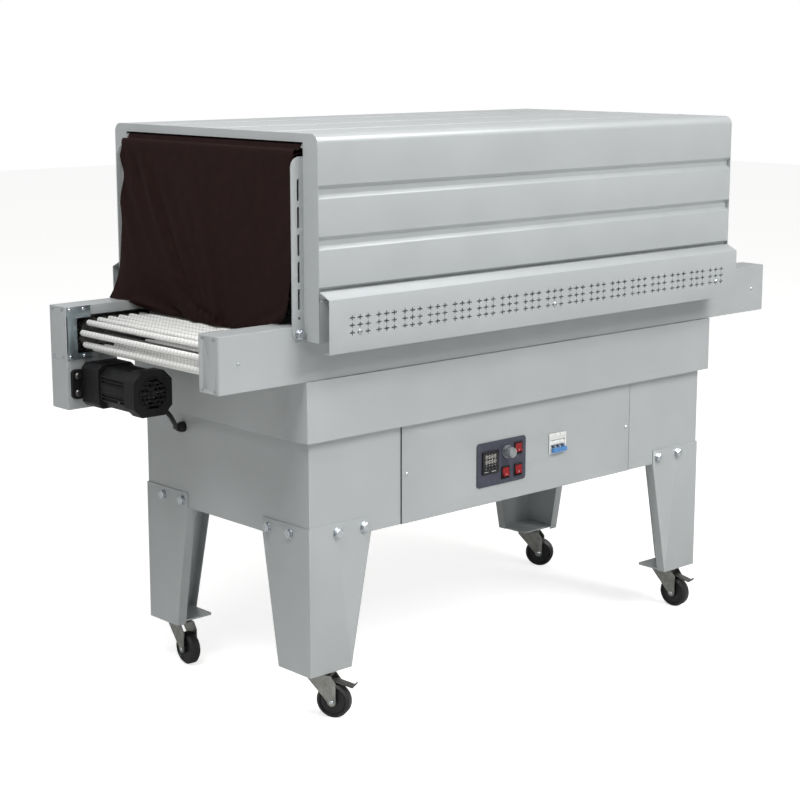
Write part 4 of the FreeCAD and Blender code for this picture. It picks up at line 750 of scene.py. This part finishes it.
# Rocker marks: a small circle laid on the lower half of each rocker
ROCKERS = (("power_rocker", -0.018, 0.4772), ("fan_rocker", -0.056, 0.4298), ("conveyor_rocker", -0.018, 0.4298))
for rocker, x, z in ROCKERS:
    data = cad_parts[rocker].data
    corners = [vert.co for vert in data.vertices]
    tree = BVHTree.FromPolygons(corners, [face.vertices for face in data.polygons])
    mesh = bmesh.new()
    ring(mesh, (x - 0.0005, -0.30, z - 0.0052), (0, -1, 0), 0.0010, 0.0016, 0.0001, 24)
    bmesh.ops.remove_doubles(mesh, verts=mesh.verts, dist=0.00001)
    for vert in mesh.verts:
        found = tree.ray_cast(Vector((vert.co.x, -0.32, vert.co.z)), Vector((0, 1, 0)))[0]
        if found:
            vert.co.y = found.y + (vert.co.y + 0.30) - 0.00006
    bmesh.ops.recalc_face_normals(mesh, faces=mesh.faces)
    piece(rocker + "_mark", mesh, rocker, blush_ink)

# Breaker: white cheeks round its slot, black strips that paint the shade in the gaps of its cut-out, and the
# ganged handles
NOSE = Vector((0.10775, -0.273, 0.467))
mesh = bmesh.new()
for low, high in ((0.0086, 0.0128), (-0.0128, -0.0086)):
    block(mesh, NOSE + Vector((-0.0220, 0.0002, low)), NOSE + Vector((0.0220, 0.0022, high)))
for low, high in ((0.0070, 0.0087), (-0.0087, -0.0070)):
    block(mesh, NOSE + Vector((-0.0220, 0.0016, low)), NOSE + Vector((0.0220, 0.0040, high)))
piece("breaker_cheeks", mesh, "machine", white_nylon)
# Black strips painted as shade: the gap at the cut-out's left side and two small gaps above the nose
mesh = bmesh.new()
block(mesh, NOSE + Vector((-0.0284, 0.0009, -0.0222)), NOSE + Vector((-0.0271, 0.0013, 0.0226)))
for x in (-0.0075, 0.0075):
    block(mesh, NOSE + Vector((x - 0.0003, -0.00008, 0.0165)), NOSE + Vector((x + 0.0003, 0.0002, 0.0222)))
piece("breaker_gap_painted_shade", mesh, "machine", black_abs)

BREAKER = Vector((0.10775, -0.266, 0.467))
mesh = bmesh.new()
for pole in (-1, 0, 1):
    middle = BREAKER + Vector((pole * 0.0147, 0, 0))
    cylinder(mesh, middle - Vector((0.0070, 0, 0)), middle + Vector((0.0070, 0, 0)), 0.0068, 36)
bmesh.ops.recalc_face_normals(mesh, faces=mesh.faces)
piece("breaker_drum", mesh, "breaker_toggle", white_nylon)
mesh = bmesh.new()
for pole in (-1, 0, 1):
    middle = BREAKER + Vector((pole * 0.0147, 0, 0))
    arm = block(mesh, (-0.0029, -0.0150, -0.0018), (0.0029, -0.0045, 0.0018))
    tilt = Matrix.Rotation(math.radians(40), 4, "X")
    bmesh.ops.transform(mesh, matrix=Matrix.Translation(middle) @ tilt, verts=arm)
bmesh.ops.recalc_face_normals(mesh, faces=mesh.faces)
piece("breaker_necks", mesh, "breaker_toggle", shaded_blue_nylon)
mesh = bmesh.new()
BAR_CORNERS = (Vector((-0.0219, -0.0154, -0.0190)), Vector((0.0219, -0.0092, -0.0086)))
block(mesh, *(BREAKER + corner for corner in BAR_CORNERS), 0.0012)
bmesh.ops.recalc_face_normals(mesh, faces=mesh.faces)
piece("breaker_handle_bar", mesh, "breaker_toggle", blue_nylon, ["breaker_toggle"])

# Fasteners
BOTH = (-1, 1)
mesh = bmesh.new()
bolt_faces = []
for side_x in BOTH:
    for side_y in BOTH:
        for x in (0.5205, 0.4505):
            bolt_faces.append(((side_x * x, side_y * 0.272, 0.381), (0, side_y, 0)))
        for y in (0.212, 0.144):
            bolt_faces.append(((side_x * 0.5925, side_y * y, 0.381), (side_x, 0, 0)))
        bolt_faces.append(((side_x * 0.622, side_y * 0.286, 0.785), (0, side_y, 0)))
for face, outward in bolt_faces:
    hex_bolt(mesh, face, outward)
    face, outward = Vector(face), Vector(outward)
    cylinder(mesh, face - outward * 0.0102, face, 0.0050, 16)
bmesh.ops.recalc_face_normals(mesh, faces=mesh.faces)
piece("dressed_frame_bolts", mesh, "machine", bolt_zinc, ["frame_bolts"])

mesh = bmesh.new()
for side_x in BOTH:
    for side_y in BOTH:
        for z in (0.698, 0.794):
            for y in (0.236, 0.271):
                face = (side_x * 0.8098, side_y * y, z)
                pan_screw(mesh, face, (side_x, 0, 0), 0.0039, 0.0012)
                cylinder(mesh, (side_x * 0.8082, side_y * y, z), face, 0.0024, 20, 0.0037)
            for x in (0.802, 0.7696):
                pan_screw(mesh, (side_x * x, side_y * 0.221, z), (0, -side_y, 0), 0.0041, 0.0024)
        pan_screw(mesh, (side_x * 0.7647, side_y * 0.283, 0.7455), (0, side_y, 0), 0.0034, 0.0018)
for side_y in BOTH:
    for x in (-0.534, 0.0, 0.534):
        pan_screw(mesh, (x, side_y * 0.356, 0.790), (0, side_y, 0), 0.0042, 0.0024)
        cylinder(mesh, (x, side_y * 0.3281, 0.790), (x, side_y * 0.3544, 0.790), 0.006, 24)
for x in (-0.338, 0.333):
    pan_screw(mesh, (x, -0.272, 0.4692), (0, -1, 0), 0.0042, 0.0024)
bmesh.ops.recalc_face_normals(mesh, faces=mesh.faces)
piece("dressed_panel_screws", mesh, "machine", bolt_zinc, ["panel_screws"])

# Door: a thin dark rubber-finished strip down each side, which paints the shade in the gap between door and
# shell
mesh = bmesh.new()
for x in (-0.3507, 0.3457):
    block(mesh, (x - 0.0007, -0.2712, 0.3674), (x + 0.0007, -0.26945, 0.5716))
piece("door_gap_painted_shade", mesh, "machine", rubber)

# Conveyor chains and rollers, laid out as in the source
PITCH = 0.0127
TEETH = 14
RUN = 118
SHAFT_X = RUN * PITCH / 2
CHAIN_Z = 0.740
WHEEL_RADIUS = PITCH / (2 * math.sin(math.pi / TEETH))
PINS = 2 * RUN + TEETH


def pin_place(count):
    """X and Z of one chain pin, counted from the top of the entrance wheel."""
    half, step = TEETH // 2, math.tau / TEETH
    if count <= half:
        centre, angle = -SHAFT_X, math.pi / 2 + count * step
    elif count < half + RUN:
        return -SHAFT_X + (count - half) * PITCH, CHAIN_Z - WHEEL_RADIUS
    elif count <= 2 * half + RUN:
        centre, angle = SHAFT_X, -math.pi / 2 + (count - half - RUN) * step
    else:
        return SHAFT_X - (count - 2 * half - RUN) * PITCH, CHAIN_Z + WHEEL_RADIUS
    return centre + WHEEL_RADIUS * math.cos(angle), CHAIN_Z + WHEEL_RADIUS * math.sin(angle)


def link_plate(mesh, first, second, near, far):
    """Waisted link plate between two pins, from one Y to another."""
    (ax, az), (bx, bz) = first, second
    length = math.hypot(bx - ax, bz - az)
    along_x, along_z = (bx - ax) / length, (bz - az) / length
    outline = []
    for s, t in (
        (-0.0045, -0.0034), (0.0, -0.0056), (0.0042, -0.0045),
        (0.0085, -0.0045), (0.0127, -0.0056), (0.0172, -0.0034),
    ):
        outline.append((s, t))
    outline += [(s, -t) for s, t in reversed(outline)]
    verts = []
    for s, t in outline:
        verts.append(mesh.verts.new((ax + along_x * s - along_z * t, near, az + along_z * s + along_x * t)))
    face = mesh.faces.new(verts)
    made = bmesh.ops.extrude_face_region(mesh, geom=[face])
    moved = [item for item in made["geom"] if isinstance(item, bmesh.types.BMVert)]
    bmesh.ops.translate(mesh, verts=moved, vec=(0, far - near, 0))


def roller_chain(name, places, middle, wheels, stands_for):
    """Endless chain of inner and outer plates, with pins and bushes on its free runs."""
    mesh = bmesh.new()
    for index, first in enumerate(places):
        second = places[(index + 1) % len(places)]
        near, far = (0.0039, 0.0053) if index % 2 else (0.0055, 0.0069)
        for side in (-1, 1):
            link_plate(mesh, first, second, middle + side * near, middle + side * far)
        x, z = first
        for side in (-1, 1):
            cylinder(mesh, (x, middle + side * 0.0052, z), (x, middle + side * 0.00697, z), 0.002, 6)
        if all(math.hypot(x - wx, z - wz) > 0.037 for wx, wz in wheels):
            cylinder(mesh, (x, middle - 0.0038, z), (x, middle + 0.0038, z), 0.0038, 8)
    bmesh.ops.recalc_face_normals(mesh, faces=mesh.faces)
    return piece(name, mesh, "machine", steel, stands_for)


CHAIN_Y = 0.21625 + 0.0031 + 0.003875
loop = [pin_place(count) for count in range(PINS)]
wheels = [(-SHAFT_X, CHAIN_Z), (SHAFT_X, CHAIN_Z)]
roller_chain("front_conveyor_chain", loop, -CHAIN_Y, wheels, [])
roller_chain("rear_conveyor_chain", loop, CHAIN_Y, wheels, ["conveyor_chains"])


def roller_sleeves():
    """White sleeves on every second pin, with rounded ends and a map for the spiral."""
    mesh = bmesh.new()
    layer = mesh.loops.layers.uv.new("sleeve")
    profile = [
        (0.0026, -0.2155), (0.0055, -0.2152), (0.00625, -0.2135), (0.00625, 0.0),
        (0.00625, 0.2135), (0.0055, 0.2152), (0.0026, 0.2155),
    ]
    for count in range(1, PINS, 2):
        x, z = pin_place(count)
        ring = [mesh.verts.new((x + r, y, z)) for r, y in profile]
        edges = [mesh.edges.new(pair) for pair in zip(ring, ring[1:])]
        bmesh.ops.spin(
            mesh, geom=ring + edges, cent=(x, 0, z), axis=(0, 1, 0), angle=math.tau,
            steps=12, use_merge=True,
        )
    bmesh.ops.remove_doubles(mesh, verts=mesh.verts, dist=0.00001)
    places = [pin_place(count) for count in range(1, PINS, 2)]
    for face in mesh.faces:
        centre = face.calc_center_median()
        x, z = min(places, key=lambda place: (place[0] - centre.x) ** 2 + (place[1] - centre.z) ** 2)
        middle = math.atan2(centre.z - z, centre.x - x)
        for corner in face.loops:
            angle = math.atan2(corner.vert.co.z - z, corner.vert.co.x - x)
            angle = middle + math.remainder(angle - middle, math.tau)
            corner[layer].uv = (angle / math.tau, corner.vert.co.y)
    bmesh.ops.recalc_face_normals(mesh, faces=mesh.faces)
    return piece("roller_sleeves", mesh, "machine", sleeve, ["conveyor_rollers"], 50)


def roller_pins():
    """Extended chain pins that show as dark stubs at the sleeves' ends."""
    mesh = bmesh.new()
    for count in range(1, PINS, 2):
        x, z = pin_place(count)
        for side in (-1, 1):
            cylinder(mesh, (x, side * 0.2154, z), (x, side * 0.2166, z), 0.0029, 8)
    return piece("roller_pins", mesh, "machine", steel)


roller_sleeves()
roller_pins()

# Floor and light
floor_mesh = bmesh.new()
bmesh.ops.create_grid(floor_mesh, x_segments=1, y_segments=1, size=14.0)
floor_data = bpy.data.meshes.new("floor")
floor_mesh.to_mesh(floor_data)
floor_mesh.free()
floor = bpy.data.objects.new("floor", floor_data)
bpy.context.scene.collection.objects.link(floor)
floor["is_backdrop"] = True
floor_finish, tree, shader, place = finish("pale_studio_floor", Roughness=0.9)
shader.inputs["Base Color"].default_value = linear("#E1E1DF")
direct = add(tree, "ShaderNodeLightPath").outputs["Is Camera Ray"]
shader.inputs["Emission Color"].default_value = (1, 1, 1, 1)
tree.links.new(spread(tree, direct, 0.0, 0.69), shader.inputs["Emission Strength"])
floor_data.materials.append(floor_finish)

world = bpy.data.worlds.new("studio")
bpy.context.scene.world = world
world.use_nodes = True
sky = world.node_tree
sky.nodes.clear()
rays = add(sky, "ShaderNodeLightPath")
inputs = {0: rays.outputs["Is Glossy Ray"], 1: 0.38, 2: 0.28}
mirrored = add(sky, "ShaderNodeMath", inputs, operation="MULTIPLY_ADD")
inputs = {0: rays.outputs["Is Camera Ray"], 1: 0.73, 2: mirrored.outputs["Value"]}
strength = add(sky, "ShaderNodeMath", inputs, operation="MULTIPLY_ADD")
glow = add(sky, "ShaderNodeBackground", {"Color": (1, 1, 1, 1), "Strength": strength.outputs["Value"]})
add(sky, "ShaderNodeOutputWorld", {"Surface": glow.outputs["Background"]})


def lamp(name, place, size, power, only_shine=False):
    """Soft square lamp that faces the machine's middle; some only show as a shine."""
    data = bpy.data.lights.new(name, "AREA")
    data.size = size
    data.energy = power
    made = bpy.data.objects.new(name, data)
    made.location = place
    made.rotation_mode = "QUATERNION"
    made.rotation_quaternion = (Vector((0, 0, 0.7)) - Vector(place)).to_track_quat("-Z", "Y")
    made.visible_diffuse = not only_shine
    bpy.context.scene.collection.objects.link(made)


lamp("key_lamp", (0.9, -3.8, 3.9), 2.2, 158)
lamp("top_lamp", (0.0, 0.5, 4.5), 3.5, 10)
lamp("side_lamp", (-2.0, -0.7, 3.2), 1.2, 52)
lamp("shine_panel", (1.9, -2.5, 4.4), 1.8, 260, True)
bpy.context.scene.view_settings.view_transform = "Standard"

low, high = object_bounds()
